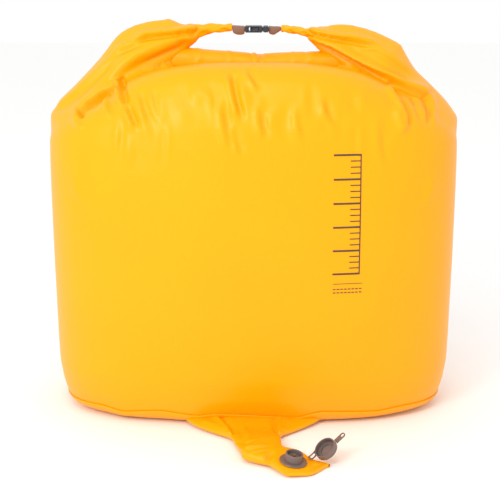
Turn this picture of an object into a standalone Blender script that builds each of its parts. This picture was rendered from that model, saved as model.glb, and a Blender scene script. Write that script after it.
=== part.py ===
"""Roll-top compression sack with a pump snout, standing full of air on its base.

Units are metres, +Z is up, the front faces -Y, and the origin is the centre of the flat
base on the floor.  Fabric is drawn FABRIC thick so that every panel is a real solid.
"""
import math

import bmesh
import bpy
from mathutils import Matrix, Vector

# ---------------------------------------------------------------- driving dimensions
FIT_GAP = 0.0003            # between pieces that touch
FABRIC = 0.0013             # wall of a fabric panel as drawn
PAST = 0.002                # how far a cutting shape runs past the face it opens

BAG_WIDTH = 0.590
BAG_DEPTH = 0.304
BASE_WIDTH = 0.500          # flat part of the base
BASE_DEPTH = 0.206
SEAM_HEIGHT = 0.019         # base panel to body seam
SHOULDER_HEIGHT = 0.436     # where the sides turn in towards the mouth
RIDGE_HEIGHT = 0.515        # crest of the front and back panels
MOUTH_HEIGHT = 0.507        # where the panels meet under the rolled mouth
MOUTH_LENGTH = 0.396        # of the closed mouth, along X
MOUTH_SLIT = 0.012
SQUARENESS = 2.6            # superellipse exponent of the plan outline
SIDES = 56                  # facets round the bag
TAPE_WIDTH = 0.012
TAPE_THICKNESS = 0.0006

ROLL_HALF_LENGTH = 0.146    # lower, straight stretch of the rolled mouth
ROLL_HEIGHT = 0.016
ROLL_DEPTH = 0.030
ROLL_WALL = 0.0028
ROLL_SETTLE = 0.0040        # of the roll, below the ridges
STIFFENER_WIDTH = 0.016
STIFFENER_THICKNESS = 0.0012
STIFFENER_SHORT = 0.004     # than the roll, at each end

HORN_CREST = 0.567          # top of each turned-up end of the roll
HORN_DEPTH = 0.044
HORN_ABOVE_RIDGE = 0.0035   # where a horn starts
HORN_OVERHANG = 0.012       # of its foot past the end of the mouth
HORN_ROOM = 0.0015          # over the straight stretch of the roll
HORN_SHOULDER = (0.187, 0.5545)     # X and Z of three corners of its outer edge
HORN_BACK = (0.152, 0.564)
HORN_FRONT_X = 0.120
HORN_UNDERSIDE = ((0.127, 0.0015), (0.108, 0.004), (0.0985, 0.009))   # X, height over the roll
HORN_THINNING = (1.0, 1.0, 0.9, 0.72, 0.5)    # share of HORN_DEPTH at each section
HORN_FLARE = 0.0075         # rise of its second section beyond the overhang
HORN_TIP_ROOM = 0.0008      # from its tip to the handle's root
HANDLE_HEIGHT = 0.5565      # centre of the twisted handle
HANDLE_ROOT = 0.0935        # its ends, each side of the middle
HANDLE_RADIUS = 0.0056
LOOP_RADIUS_Z = 0.0048      # webbing loop that ties the twist to the buckle
LOOP_RADIUS_Y = 0.0085

BUCKLE_CENTRE = 0.0045      # along X
SOCKET_LENGTH = 0.0255
SOCKET_WIDTH = 0.0260
SOCKET_HEIGHT = 0.0092
SOCKET_WALL = 0.0017
SOCKET_RAIL = 0.0050        # bar in front of the side windows
SOCKET_BACK = 0.0027        # wall behind the prongs' chamber
WINDOW_START = 0.0044       # from the socket's closed end
BUCKLE_ROUNDING = 0.0012
PLUG_SHARE = 0.94           # of the socket's height
PLUG_LENGTH = 0.0087
LOOP_LENGTH = 0.0168
RIB_HALF_WIDTH = 0.0015
RIB_LENGTH = 0.0150
PRONG_LENGTH = 0.0165
PRONG_WIDTH = 0.0026
PRONG_INSET = 0.0068        # prong centre line from the buckle's middle
PRONG_HEAD = 0.0031
PRONG_PROUD = 0.0006        # of the socket's side when clipped
PRONG_NOSE = 0.0012         # chamfers at the ends of its head

FLOOR_SHARE = (0.985, 0.975)    # inner face of the base against its outline, along X and Y
SLOT_HALF_WIDTH = 0.060     # air port through the base panel's rim
SLOT_LOW = 0.0045
SLOT_HIGH = 0.0145
FUNNEL_HALF_WIDTH = 0.100
FUNNEL_THICKNESS = 0.0165
FUNNEL_ROOM = 0.0030        # from the bag's curved front to the funnel's edge
FUNNEL_BACK = 0.019         # its tapering starts this far behind the bag's front
FUNNEL_WAIST = (0.45, 0.60)     # share of its length, and of its width there
FUNNEL_END = 0.355          # share of its width at the neck
SNOUT_THICKNESS = 0.0130
NECK = Vector((0.0035, -0.1660))
NECK_WIDTH = 0.068
ELBOW = Vector((0.0125, -0.2225))
ELBOW_WIDTH = 0.075
HINGE_ROOM = 0.0072         # left clear each side of a fabric hinge line
POUCH_FRONT = Vector((0.040, -0.3010))
POUCH_BACK = Vector((0.067, -0.2070))
TIP_FRONT = Vector((0.084, -0.2920))
TIP_BACK = Vector((0.101, -0.2460))
POUCH_TOP = 0.0215          # above the floor at the elbow
POUCH_SLOPE = 0.165         # fall of the pouch's top towards its tip

VALVE_CENTRE = Vector((0.0520, -0.2725))
COLLAR_RADIUS = 0.0120
FLANGE_RIM = 0.0068         # of the flange, past the collar
FLANGE_RADIUS = COLLAR_RADIUS + FLANGE_RIM
FLANGE_THICKNESS = 0.0016
VALVE_CHAMFER = 0.0006
COLLAR_WALL = 0.0022
COLLAR_HEIGHT = 0.0100
SPIDER_HEIGHT = 0.0028      # grille level inside the collar
GRILLE_THICKNESS = 0.0014
GRILLE_ARM = 0.0018
HUB_RADIUS = 0.0024
STUD_RADIUS = 0.0012
FLAP_THICKNESS = 0.0007
FLAP_LIFT = 0.0014
FLAP_ROOM = 0.0006          # round the flap, inside the collar
STUD_HEAD = 0.0010
CAP_CLEARANCE = 0.0020
CAP_WALL = 0.0015
CAP_HEIGHT = 0.0080
GASKET_THICKNESS = 0.0010
STRAP_REACH = 0.0120        # from the collar's wall to the strap's hinge line
STRAP_TURN_DEG = 24.0       # of the strap round the valve, from its right towards the back
CAP_HINGE = COLLAR_RADIUS + STRAP_REACH
CAP_OPEN_DEG = 134.0
STRAP_WIDTH = 0.0070
STRAP_THICKNESS = 0.0014
STRAP_SLOT = 0.0022
STRAP_FOOT = 0.0012         # from the hinge line to the strap's solid end
STRAP_BEND = (0.35, 0.40)   # share of its run and of its rise at the bend
SLOT_ENDS = (0.0022, 0.0018)    # solid strap left at the cap and at the hinge
TAB_LENGTH = 0.0170
TAB_WIDTH = 0.0080
TAB_HOLE = 0.0026
TAB_DROP = 0.0024           # below the cap's roof
TAB_THICKNESS = 0.0015
GASKET_LIP = 0.0015         # of the gasket, inside the bore

COLOURS = {
    "fabric": ((1.00, 0.50, 0.02), 0.38, 0.0),
    "tape": ((0.95, 0.62, 0.20), 0.30, 0.0),
    "webbing": ((0.30, 0.20, 0.16), 0.70, 0.0),
    "buckle": ((0.05, 0.05, 0.055), 0.25, 0.0),
    "valve": ((0.20, 0.16, 0.15), 0.45, 0.0),
    "silicone": ((0.60, 0.55, 0.50), 0.35, 0.0),
    "stiffener": ((0.75, 0.72, 0.66), 0.40, 0.0),
}


# ---------------------------------------------------------------- helpers
def clear_scene():
    for item in list(bpy.data.objects):
        bpy.data.objects.remove(item, do_unlink=True)


def material(finish, name):
    colour, roughness, metallic = COLOURS[finish]
    made = bpy.data.materials.new(f"{name}_{finish}")
    made.use_nodes = True
    shader = made.node_tree.nodes["Principled BSDF"]
    shader.inputs["Base Color"].default_value = (*colour, 1.0)
    shader.inputs["Roughness"].default_value = roughness
    shader.inputs["Metallic"].default_value = metallic
    return made


def add_object(name, bm, finish, pivot=(0.0, 0.0, 0.0)):
    """Turn bm, in world coordinates, into an object whose origin is on pivot."""
    bmesh.ops.remove_doubles(bm, verts=bm.verts, dist=1e-6)
    bmesh.ops.recalc_face_normals(bm, faces=bm.faces)
    bm.transform(Matrix.Translation(-Vector(pivot)))
    mesh = bpy.data.meshes.new(name)
    bm.to_mesh(mesh)
    bm.free()
    mesh.shade_smooth()
    mesh.set_sharp_from_angle(angle=math.radians(40))
    made = bpy.data.objects.new(name, mesh)
    made.location = pivot
    made.data.materials.append(material(finish, name))
    bpy.context.scene.collection.objects.link(made)
    return made


def cut(target, bm, name):
    """Boolean-subtract the closed shape bm, in world coordinates, from target."""
    cutter = add_object(name, bm, "valve")
    cutter.hide_render = True
    cutter.display_type = "WIRE"
    step = target.modifiers.new(name, "BOOLEAN")
    step.operation = "DIFFERENCE"
    step.solver = "EXACT"
    step.object = cutter


def lofted(rings, bm=None, cap_start=True, cap_end=True):
    """A skin over closed rings of equal length, with flat caps."""
    bm = bm or bmesh.new()
    loops = [[bm.verts.new(point) for point in ring] for ring in rings]
    count = len(loops[0])
    for low, high in zip(loops, loops[1:]):
        for i in range(count):
            bm.faces.new((low[i], low[(i + 1) % count], high[(i + 1) % count], high[i]))
    if cap_start:
        bm.faces.new(loops[0][::-1])
    if cap_end:
        bm.faces.new(loops[-1])
    return bm, loops


def tube(outer, inner, closed_end=False):
    """A walled tube: outer and inner rings, joined at the start and at the end or capped."""
    bm, outside = lofted(outer, cap_start=False, cap_end=closed_end)
    bm, inside = lofted(inner, bm, cap_start=False, cap_end=closed_end)
    count = len(outside[0])
    ends = [(outside[0], inside[0])]
    if not closed_end:
        ends.append((outside[-1], inside[-1]))
    for one, other in ends:
        for i in range(count):
            j = (i + 1) % count
            bm.faces.new((one[i], one[j], other[j], other[i]))
    return bm


def slab(front, back):
    """A closed sheet between two equal grids of points, with its four edges walled."""
    bm = bmesh.new()
    faces = []
    grids = [[[bm.verts.new(p) for p in row] for row in grid] for grid in (front, back)]
    rows, columns = len(front), len(front[0])
    for grid in grids:
        for i in range(rows - 1):
            for j in range(columns - 1):
                faces.append((grid[i][j], grid[i][j + 1], grid[i + 1][j + 1], grid[i + 1][j]))
    edge = [(0, j) for j in range(columns)]
    edge += [(i, columns - 1) for i in range(1, rows)]
    edge += [(rows - 1, j) for j in range(columns - 2, -1, -1)]
    edge += [(i, 0) for i in range(rows - 2, 0, -1)]
    for (i, j), (k, l) in zip(edge, edge[1:] + edge[:1]):
        faces.append((grids[0][i][j], grids[0][k][l], grids[1][k][l], grids[1][i][j]))
    for face in faces:
        bm.faces.new(face)
    return bm


def box(low, high, bevel=0.0, segments=2):
    bm = bmesh.new()
    bmesh.ops.create_cube(bm, size=1.0)
    size = Vector(high) - Vector(low)
    middle = (Vector(high) + Vector(low)) / 2
    bmesh.ops.scale(bm, vec=size, verts=bm.verts)
    bmesh.ops.translate(bm, vec=middle, verts=bm.verts)
    if bevel:
        bmesh.ops.bevel(bm, geom=bm.edges[:], offset=bevel, segments=segments, affect="EDGES")
    return bm


def turned(profile, steps=32):
    """Spin a closed (radius, height) profile about Z; radius 0 points close on the axis."""
    bm = bmesh.new()
    verts = [bm.verts.new((radius, 0.0, height)) for radius, height in profile]
    edges = [bm.edges.new(pair) for pair in zip(verts, verts[1:] + verts[:1])]
    edges = [e for e in edges if e.verts[0].co.x > 0 or e.verts[1].co.x > 0]
    bmesh.ops.spin(bm, geom=verts + edges, axis=(0, 0, 1), cent=(0, 0, 0),
                   angle=2 * math.pi, steps=steps, use_merge=True)
    bmesh.ops.remove_doubles(bm, verts=bm.verts, dist=1e-6)
    stray = [e for e in bm.edges if not e.link_faces]
    bmesh.ops.delete(bm, geom=stray, context="EDGES")
    return bm


def plate(outline, low, high, bevel=0.0):
    """Extrude a flat XY outline from height low to high."""
    bm = bmesh.new()
    face = bm.faces.new([bm.verts.new((x, y, low)) for x, y in outline])
    grown = bmesh.ops.extrude_face_region(bm, geom=[face])
    top = [v for v in grown["geom"] if isinstance(v, bmesh.types.BMVert)]
    bmesh.ops.translate(bm, vec=(0, 0, high - low), verts=top)
    if bevel:
        bmesh.ops.recalc_face_normals(bm, faces=bm.faces)
        bmesh.ops.bevel(bm, geom=bm.edges[:], offset=bevel, segments=1, affect="EDGES")
    return bm


def arc(centre, radius, start_deg, end_deg, count):
    """count + 1 points on an arc, in the plane."""
    step = (end_deg - start_deg) / count
    angles = [math.radians(start_deg + step * i) for i in range(count + 1)]
    return [(centre[0] + radius * math.cos(a), centre[1] + radius * math.sin(a)) for a in angles]


# ---------------------------------------------------------------- the bag's surface
# Stations of the side outline, base to mouth: height, half width, half depth.
HALF_W = BAG_WIDTH / 2
HALF_D = BAG_DEPTH / 2
MOUTH_W = MOUTH_LENGTH / 2
RISE = RIDGE_HEIGHT - SHOULDER_HEIGHT
STATIONS = [
    (0.0, BASE_WIDTH / 2, BASE_DEPTH / 2),
    (0.3 * SEAM_HEIGHT, HALF_W - 0.027, HALF_D - 0.034),
    (SEAM_HEIGHT, HALF_W - 0.012, HALF_D - 0.021),
    (0.16 * SHOULDER_HEIGHT, HALF_W - 0.003, HALF_D - 0.007),
    (0.35 * SHOULDER_HEIGHT, HALF_W - 0.001, HALF_D - 0.001),
    (0.60 * SHOULDER_HEIGHT, HALF_W, HALF_D),
    (0.85 * SHOULDER_HEIGHT, HALF_W, HALF_D - 0.009),
    (SHOULDER_HEIGHT, HALF_W - 0.003, HALF_D - 0.019),
    (SHOULDER_HEIGHT + 0.45 * RISE, MOUTH_W + 0.070, HALF_D - 0.032),
    (SHOULDER_HEIGHT + 0.80 * RISE, MOUTH_W + 0.038, HALF_D - 0.048),
    (RIDGE_HEIGHT - 0.002, MOUTH_W + 0.018, HALF_D - 0.070),
    (RIDGE_HEIGHT, MOUTH_W + 0.008, HALF_D - 0.100),
    (RIDGE_HEIGHT - 0.004, MOUTH_W + 0.002, MOUTH_SLIT / 2 + 0.014),
    (MOUTH_HEIGHT, MOUTH_W, MOUTH_SLIT / 2),
]
SEAM_LEVEL = 2              # index of the base seam in STATIONS
SHOULDER_LEVEL = 7


def superellipse(half_width, half_depth, angle):
    power = 2 / SQUARENESS
    x = math.copysign(abs(math.cos(angle)) ** power, math.cos(angle)) * half_width
    y = math.copysign(abs(math.sin(angle)) ** power, math.sin(angle)) * half_depth
    return x, y


def station_point(side, station):
    """Corner point of the faceted skin: side counts facets round, station up the outline."""
    height, half_width, half_depth = STATIONS[station]
    x, y = superellipse(half_width, half_depth, 2 * math.pi * side / SIDES)
    return Vector((x, y, height))


def skin_normal(side, station):
    """Outward normal of the skin at a corner point, from its neighbours."""
    low = max(station - 1, 0)
    high = min(station + 1, len(STATIONS) - 1)
    up = station_point(side, high) - station_point(side, low)
    around = station_point(side + 1, station) - station_point(side - 1, station)
    return around.cross(up).normalized()


def skin(side, station, inward=0.0):
    """A point on the skin, or inward of it; side and station may be fractions."""
    side_low, station_low = math.floor(side), min(math.floor(station), len(STATIONS) - 2)
    u, v = side - side_low, station - station_low
    total = Vector((0.0, 0.0, 0.0))
    for i, share_u in ((0, 1 - u), (1, u)):
        for j, share_v in ((0, 1 - v), (1, v)):
            corner = station_point(side_low + i, station_low + j)
            corner = corner - inward * skin_normal(side_low + i, station_low + j)
            total += share_u * share_v * corner
    return total


def front_surface(x, height):
    """Y of the bag's front at x and height, below the seam."""
    pairs = list(zip(STATIONS, STATIONS[1:]))
    low, high = next(p for p in pairs if p[1][0] >= height)
    share = (height - low[0]) / (high[0] - low[0])
    half_width = low[1] + share * (high[1] - low[1])
    half_depth = low[2] + share * (high[2] - low[2])
    return -half_depth * (1 - (abs(x) / half_width) ** SQUARENESS) ** (1 / SQUARENESS)


def body_panel(name, first_side, shift):
    """One half of the body, from the base seam over its ridge to the mouth."""
    seam = SEAM_LEVEL + FIT_GAP / (STATIONS[SEAM_LEVEL + 1][0] - SEAM_HEIGHT)
    levels = [seam] + list(range(SEAM_LEVEL + 1, len(STATIONS)))
    sides = [first_side + i for i in range(SIDES // 2 + 1)]
    move = Vector((0.0, shift, 0.0))
    grids = [[[skin(s, v, depth) + move for s in sides] for v in levels] for depth in (0.0, FABRIC)]
    return add_object(name, slab(*grids), "fabric")


def build_body():
    body_panel("back_panel", 0, FIT_GAP / 2)
    body_panel("front_panel", SIDES // 2, -FIT_GAP / 2)


def build_base():
    """Flat oval base with a rim that turns up to the body seam."""
    outer = [[skin(s, v) for s in range(SIDES)] for v in range(SEAM_LEVEL + 1)]
    inner = [[skin(s, v, FABRIC) for s in range(SIDES)] for v in range(1, SEAM_LEVEL + 1)]
    floor_ring = [Vector((p.x * FLOOR_SHARE[0], p.y * FLOOR_SHARE[1], FABRIC)) for p in outer[0]]
    inner = [floor_ring] + inner
    base = add_object("base_panel", tube(outer[::-1], inner[::-1], closed_end=True), "fabric")
    port = box((-SLOT_HALF_WIDTH, -HALF_D, SLOT_LOW), (SLOT_HALF_WIDTH, -HALF_D / 2, SLOT_HIGH))
    cut(base, port, "air_port")


def tape_grid(sides, levels, depth, shift=0.0):
    move = Vector((0.0, shift, 0.0))
    return [[skin(s, v, depth) + move for s in sides] for v in levels]


def build_tapes():
    """Seam tapes welded inside: one round the base seam, one down each side seam."""
    near = FABRIC + FIT_GAP
    far = near + TAPE_THICKNESS
    half = TAPE_WIDTH / 2
    below = half / (STATIONS[SEAM_LEVEL][0] - STATIONS[SEAM_LEVEL - 1][0])
    above = half / (STATIONS[SEAM_LEVEL + 1][0] - STATIONS[SEAM_LEVEL][0])
    levels = (SEAM_LEVEL + above, SEAM_LEVEL, SEAM_LEVEL - 0.25 * below)
    rings = [[[skin(s, v, d) for s in range(SIDES)] for v in levels] for d in (near, far)]
    add_object("base_seam_tape", tube(*rings), "tape")
    facet = (skin(1, SHOULDER_LEVEL) - skin(0, SHOULDER_LEVEL)).length
    share = half / facet
    start = SEAM_LEVEL + 3 * above
    side_levels = [start] + list(range(SEAM_LEVEL + 1, SHOULDER_LEVEL + 1))
    for name, seam in (("right", 0), ("left", SIDES // 2)):
        sides = (seam - share, seam, seam + share)
        grids = [tape_grid(sides, side_levels, d + FIT_GAP / 2) for d in (near, far)]
        add_object(f"{name}_side_seam_tape", slab(*grids), "tape")


# ---------------------------------------------------------------- rolled mouth
def oval(centre, half_a, half_b, axis_a, axis_b, count=14):
    angles = [2 * math.pi * i / count for i in range(count)]
    return [centre + axis_a * (half_a * math.cos(a)) + axis_b * (half_b * math.sin(a))
            for a in angles]


X_AXIS, Y_AXIS, Z_AXIS = Vector((1, 0, 0)), Vector((0, 1, 0)), Vector((0, 0, 1))
ROLL_LOW = RIDGE_HEIGHT - ROLL_SETTLE
ROLL_CENTRE = ROLL_LOW + ROLL_HEIGHT / 2


def build_mouth_roll():
    """Straight stretch of the rolled hem, hollow round its stiffener strip."""
    ends = (-ROLL_HALF_LENGTH, 0.0, ROLL_HALF_LENGTH)

    def rings(shrink):
        return [oval(Vector((x, 0.0, ROLL_CENTRE)), ROLL_DEPTH / 2 - shrink,
                     ROLL_HEIGHT / 2 - shrink, Y_AXIS, Z_AXIS) for x in ends]

    add_object("mouth_roll", tube(rings(0.0), rings(ROLL_WALL)), "fabric")
    half = (ROLL_HALF_LENGTH - STIFFENER_SHORT, STIFFENER_WIDTH / 2, STIFFENER_THICKNESS / 2)
    middle = Vector((0.0, 0.0, ROLL_CENTRE))
    strip = box(middle - Vector(half), middle + Vector(half))
    add_object("hem_stiffener", strip, "stiffener")


def build_horns():
    """The roll's turned-up ends: wide at the shoulder, narrowing to the handle."""
    clear = ROLL_CENTRE + ROLL_HEIGHT / 2 + HORN_ROOM
    start = RIDGE_HEIGHT + HORN_ABOVE_RIDGE
    inner_end = ROLL_HALF_LENGTH + HORN_ABOVE_RIDGE
    foot = MOUTH_W + HORN_OVERHANG
    outer_edge = [(foot, start), (foot - HORN_OVERHANG / 2, start + HORN_OVERHANG + HORN_FLARE),
                  HORN_SHOULDER, HORN_BACK, (HORN_FRONT_X, HORN_CREST),
                  (HANDLE_ROOT + HORN_TIP_ROOM, HANDLE_HEIGHT + HANDLE_RADIUS)]
    inner_edge = [(inner_end, start), (inner_end, clear)]
    inner_edge += [(x, clear + height) for x, height in HORN_UNDERSIDE]
    inner_edge.append((HANDLE_ROOT + HORN_TIP_ROOM, HANDLE_HEIGHT - HANDLE_RADIUS))
    depths = [share * HORN_DEPTH for share in HORN_THINNING] + [3.0 * HANDLE_RADIUS]
    for name, side in (("right", 1), ("left", -1)):
        rings = []
        for (x0, z0), (x1, z1), depth in zip(outer_edge, inner_edge, depths):
            crest, root = Vector((side * x0, 0, z0)), Vector((side * x1, 0, z1))
            across = (crest - root) / 2
            rings.append(oval((crest + root) / 2, across.length, depth / 2,
                              across.normalized(), Y_AXIS))
        add_object(f"{name}_roll_end", lofted(rings)[0], "fabric")


# ---------------------------------------------------------------- handle and buckle
BUCKLE_LEFT = BUCKLE_CENTRE - (SOCKET_LENGTH + PLUG_LENGTH) / 2
PLUG_FACE = BUCKLE_LEFT + SOCKET_LENGTH + FIT_GAP
BUCKLE_RIGHT = PLUG_FACE + PLUG_LENGTH
LEFT_LOOP_END = BUCKLE_LEFT - FIT_GAP - LOOP_LENGTH
RIGHT_LOOP_END = BUCKLE_RIGHT + FIT_GAP + LOOP_LENGTH
HANDLE_AXIS = (0.0, 0.0, HANDLE_HEIGHT - HANDLE_RADIUS)


def build_handle():
    """Twisted hem arms, and the webbing loops that tie them to the buckle."""
    arms = {"left": (-HANDLE_ROOT, LEFT_LOOP_END - FIT_GAP),
            "right": (HANDLE_ROOT, RIGHT_LOOP_END + FIT_GAP)}
    for name, (root, end) in arms.items():
        rings = []
        for share, swell in ((0.0, 1.0), (0.35, 1.03), (0.7, 0.97), (1.0, 0.92)):
            centre = Vector((root + share * (end - root), 0.0, HANDLE_HEIGHT))
            rings.append(oval(centre, swell * HANDLE_RADIUS, swell * HANDLE_RADIUS,
                              Y_AXIS, Z_AXIS, 12))
        add_object(f"{name}_handle_twist", lofted(rings)[0], "fabric", HANDLE_AXIS)
    loops = {"left": (LEFT_LOOP_END, BUCKLE_LEFT - FIT_GAP),
             "right": (RIGHT_LOOP_END, BUCKLE_RIGHT + FIT_GAP)}
    for name, (far, near) in loops.items():
        rings = []
        for share, size in ((0.0, 0.9), (0.25, 1.0), (0.8, 1.0), (1.0, 0.86)):
            centre = Vector((far + share * (near - far), 0.0, HANDLE_HEIGHT))
            rings.append(oval(centre, size * LOOP_RADIUS_Y, size * LOOP_RADIUS_Z,
                              Y_AXIS, Z_AXIS, 12))
        add_object(f"{name}_buckle_loop", lofted(rings)[0], "webbing", HANDLE_AXIS)


def build_buckle():
    """Side-release buckle lying flat: socket on the left, plug with two prongs on the right."""
    half_w, half_h = SOCKET_WIDTH / 2, SOCKET_HEIGHT / 2
    z = HANDLE_HEIGHT
    inside = half_w - SOCKET_WALL
    inside_h = half_h - SOCKET_WALL
    socket = add_object("buckle_socket", box((BUCKLE_LEFT, -half_w, z - half_h),
                                             (BUCKLE_LEFT + SOCKET_LENGTH, half_w, z + half_h),
                                             BUCKLE_ROUNDING), "buckle", HANDLE_AXIS)
    mouth = BUCKLE_LEFT + SOCKET_LENGTH
    cut(socket, box((BUCKLE_LEFT + SOCKET_BACK, -inside, z - inside_h),
                    (mouth + PAST, inside, z + inside_h)), "socket_hollow")
    window = (BUCKLE_LEFT + WINDOW_START, mouth - SOCKET_RAIL)
    cut(socket, box((window[0], -half_w - PAST, z - inside_h),
                    (window[1], half_w + PAST, z + inside_h)), "side_windows")

    plug_low = (PLUG_FACE, -half_w, z - half_h * PLUG_SHARE)
    plug_high = (BUCKLE_RIGHT, half_w, z + half_h * PLUG_SHARE)
    plug = box(plug_low, plug_high, BUCKLE_ROUNDING)
    made = add_object("buckle_plug", plug, "buckle", (PLUG_FACE, 0.0, z))
    rib_h = inside_h - 2 * FIT_GAP
    rib = box((PLUG_FACE - RIB_LENGTH, -RIB_HALF_WIDTH, z - rib_h),
              (PLUG_FACE + PAST, RIB_HALF_WIDTH, z + rib_h))
    rib_tool = add_object("guide_rib", rib, "buckle")
    rib_tool.hide_render = True
    rib_tool.display_type = "WIRE"
    join = made.modifiers.new("guide_rib", "BOOLEAN")
    join.operation = "UNION"
    join.solver = "EXACT"
    join.object = rib_tool

    root = PLUG_FACE - FIT_GAP
    tip = root - PRONG_LENGTH
    head_y = half_w + PRONG_PROUD
    head_end = mouth - SOCKET_RAIL - 2 * FIT_GAP
    near, far = PRONG_INSET - PRONG_WIDTH / 2, PRONG_INSET + PRONG_WIDTH / 2
    prong_h = rib_h - FIT_GAP
    for name, side in (("front", -1), ("back", 1)):
        outline = [(root, near), (root, far), (head_end, far), (head_end, head_y - PRONG_NOSE),
                   (head_end - PRONG_NOSE, head_y), (head_end - PRONG_HEAD, head_y - PRONG_PROUD),
                   (tip, far + PRONG_PROUD), (tip - PRONG_NOSE, far - PRONG_PROUD),
                   (tip - PRONG_NOSE / 2, near)]
        shape = plate([(x, side * y) for x, y in outline], z - prong_h, z + prong_h)
        add_object(f"buckle_prong_{name}", shape, "buckle", (root, side * PRONG_INSET, z))


# ---------------------------------------------------------------- pump snout
def flat_ring(left, right, heights, wall):
    """Flattened tube section standing on the floor: heights are its top at left and right."""
    span = right - left
    across = span.normalized()
    crown = [(0.0, 0.50), (0.035, 0.82), (0.12, 1.0), (0.31, 1.0), (0.5, 1.0), (0.69, 1.0),
             (0.88, 1.0), (0.965, 0.82)]
    shape = crown + [(1 - share, 1 - up) for share, up in crown]
    ring = []
    for share, up in shape:
        top = heights[0] + share * (heights[1] - heights[0])
        flat = left + span * share - across * (2 * share - 1) * wall
        ring.append(Vector((flat.x, flat.y, wall + up * (top - 2 * wall))))
    return ring


def pouch_height(point):
    """Top of the pouch above the floor: it falls evenly from the elbow to the tip."""
    along = (POUCH_TIP - ELBOW).normalized()
    return POUCH_TOP - POUCH_SLOPE * (point - ELBOW).dot(along)


POUCH_TIP = (TIP_FRONT + TIP_BACK) / 2
NECK_ALONG = (ELBOW - NECK).normalized()
NECK_ACROSS = Vector((-NECK_ALONG.y, NECK_ALONG.x))
ELBOW_ACROSS = Vector((math.cos(math.radians(45)), math.sin(math.radians(45))))
ELBOW_NORMAL = Vector((ELBOW_ACROSS.y, -ELBOW_ACROSS.x))
SNOUT_HINGE_HEIGHT = SNOUT_THICKNESS / 2


def build_funnel():
    """Funnel from the air port down to the neck of the snout."""
    end_y = NECK.y + HINGE_ROOM

    def rings(wall):
        start = flat_ring(Vector((-FUNNEL_HALF_WIDTH, 0)), Vector((FUNNEL_HALF_WIDTH, 0)),
                          (FUNNEL_THICKNESS,) * 2, wall)
        for point in start:
            point.y = front_surface(point.x, max(point.z, 0.001)) - FUNNEL_ROOM
        found = [start]
        for share, width in (FUNNEL_WAIST, (1.0, FUNNEL_END)):
            half = FUNNEL_HALF_WIDTH * width
            y = FUNNEL_BACK - HALF_D + share * (end_y + HALF_D - FUNNEL_BACK)
            x = share * NECK.x
            height = FUNNEL_THICKNESS + share * (SNOUT_THICKNESS - FUNNEL_THICKNESS)
            found.append(flat_ring(Vector((x - half, y)), Vector((x + half, y)),
                                   (height,) * 2, wall))
        return found

    add_object("snout_funnel", tube(rings(0.0), rings(FABRIC)), "fabric")


def build_sleeve():
    """Soft sleeve from the neck to the elbow, lying on the floor."""
    near = NECK - HINGE_ROOM * Vector((0, 1))
    far = ELBOW - HINGE_ROOM * ELBOW_NORMAL
    near_half, far_half = Vector((NECK_WIDTH / 2, 0)), ELBOW_ACROSS * ELBOW_WIDTH / 2
    heights = (SNOUT_THICKNESS,) * 2

    def rings(wall):
        found = []
        for share in (0.0, 0.5, 1.0):
            middle = near.lerp(far, share)
            half = near_half.lerp(far_half, share)
            found.append(flat_ring(middle - half, middle + half, heights, wall))
        return found

    pivot = (NECK.x, NECK.y, SNOUT_HINGE_HEIGHT)
    add_object("snout_sleeve", tube(rings(0.0), rings(FABRIC)), "fabric", pivot)


def build_pouch():
    """End pouch of the snout, closed at its tip, with the valve on top."""
    start = ELBOW + HINGE_ROOM * ELBOW_NORMAL
    half = ELBOW_ACROSS * ELBOW_WIDTH / 2
    spans = [(start - half, start + half), (POUCH_FRONT, POUCH_BACK), (TIP_FRONT, TIP_BACK)]

    def rings(wall):
        found = []
        for k, (left, right) in enumerate(spans):
            pull = (ELBOW - POUCH_TIP).normalized() * wall * (k == 2)
            heights = (pouch_height(left), pouch_height(right))
            found.append(flat_ring(left + pull, right + pull, heights, wall))
        return found

    pivot = (ELBOW.x, ELBOW.y, SNOUT_HINGE_HEIGHT)
    made = add_object("nozzle_pouch", tube(rings(0.0), rings(FABRIC), closed_end=True),
                      "fabric", pivot)
    bore = COLLAR_RADIUS - COLLAR_WALL
    hole = turned([(0.0, -2 * PAST), (bore, -2 * PAST), (bore, PAST), (0.0, PAST)])
    hole.transform(VALVE_FRAME)
    cut(made, hole, "valve_hole")


# ---------------------------------------------------------------- valve and cap
def valve_frame():
    """Sits on the pouch's sloping top, +Z out of the valve, +X to the right."""
    along = (POUCH_TIP - ELBOW).normalized()
    up = Vector((POUCH_SLOPE * along.x, POUCH_SLOPE * along.y, 1.0)).normalized()
    right = (X_AXIS - up * up.x).normalized()
    forward = up.cross(right)
    place = Vector((*VALVE_CENTRE, pouch_height(VALVE_CENTRE))) + up * FIT_GAP
    frame = Matrix((right, forward, up)).transposed().to_4x4()
    return Matrix.Translation(place) @ frame


VALVE_FRAME = valve_frame()
BORE = COLLAR_RADIUS - COLLAR_WALL
CAP_INSIDE = COLLAR_RADIUS + CAP_CLEARANCE
CAP_OUTSIDE = CAP_INSIDE + CAP_WALL
COLLAR_LOW = FLANGE_THICKNESS + FIT_GAP
COLLAR_TOP = COLLAR_LOW + COLLAR_HEIGHT
HINGE_LEVEL = FLANGE_THICKNESS + STRAP_THICKNESS / 2
STRAP_FRAME = VALVE_FRAME @ Matrix.Rotation(math.radians(STRAP_TURN_DEG), 4, "Z")
CAP_HINGE_POINT = STRAP_FRAME @ Vector((CAP_HINGE, 0, HINGE_LEVEL))
OPENED = (STRAP_FRAME @ Matrix.Translation((CAP_HINGE, 0, HINGE_LEVEL))
          @ Matrix.Rotation(math.radians(CAP_OPEN_DEG), 4, "Y")
          @ Matrix.Translation((-CAP_HINGE, 0, -HINGE_LEVEL)))
VALVE_PIVOT = tuple(VALVE_FRAME.translation)


def placed(name, bm, frame, pivot, finish="valve"):
    bm.transform(frame)
    return add_object(name, bm, finish, pivot)


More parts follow.
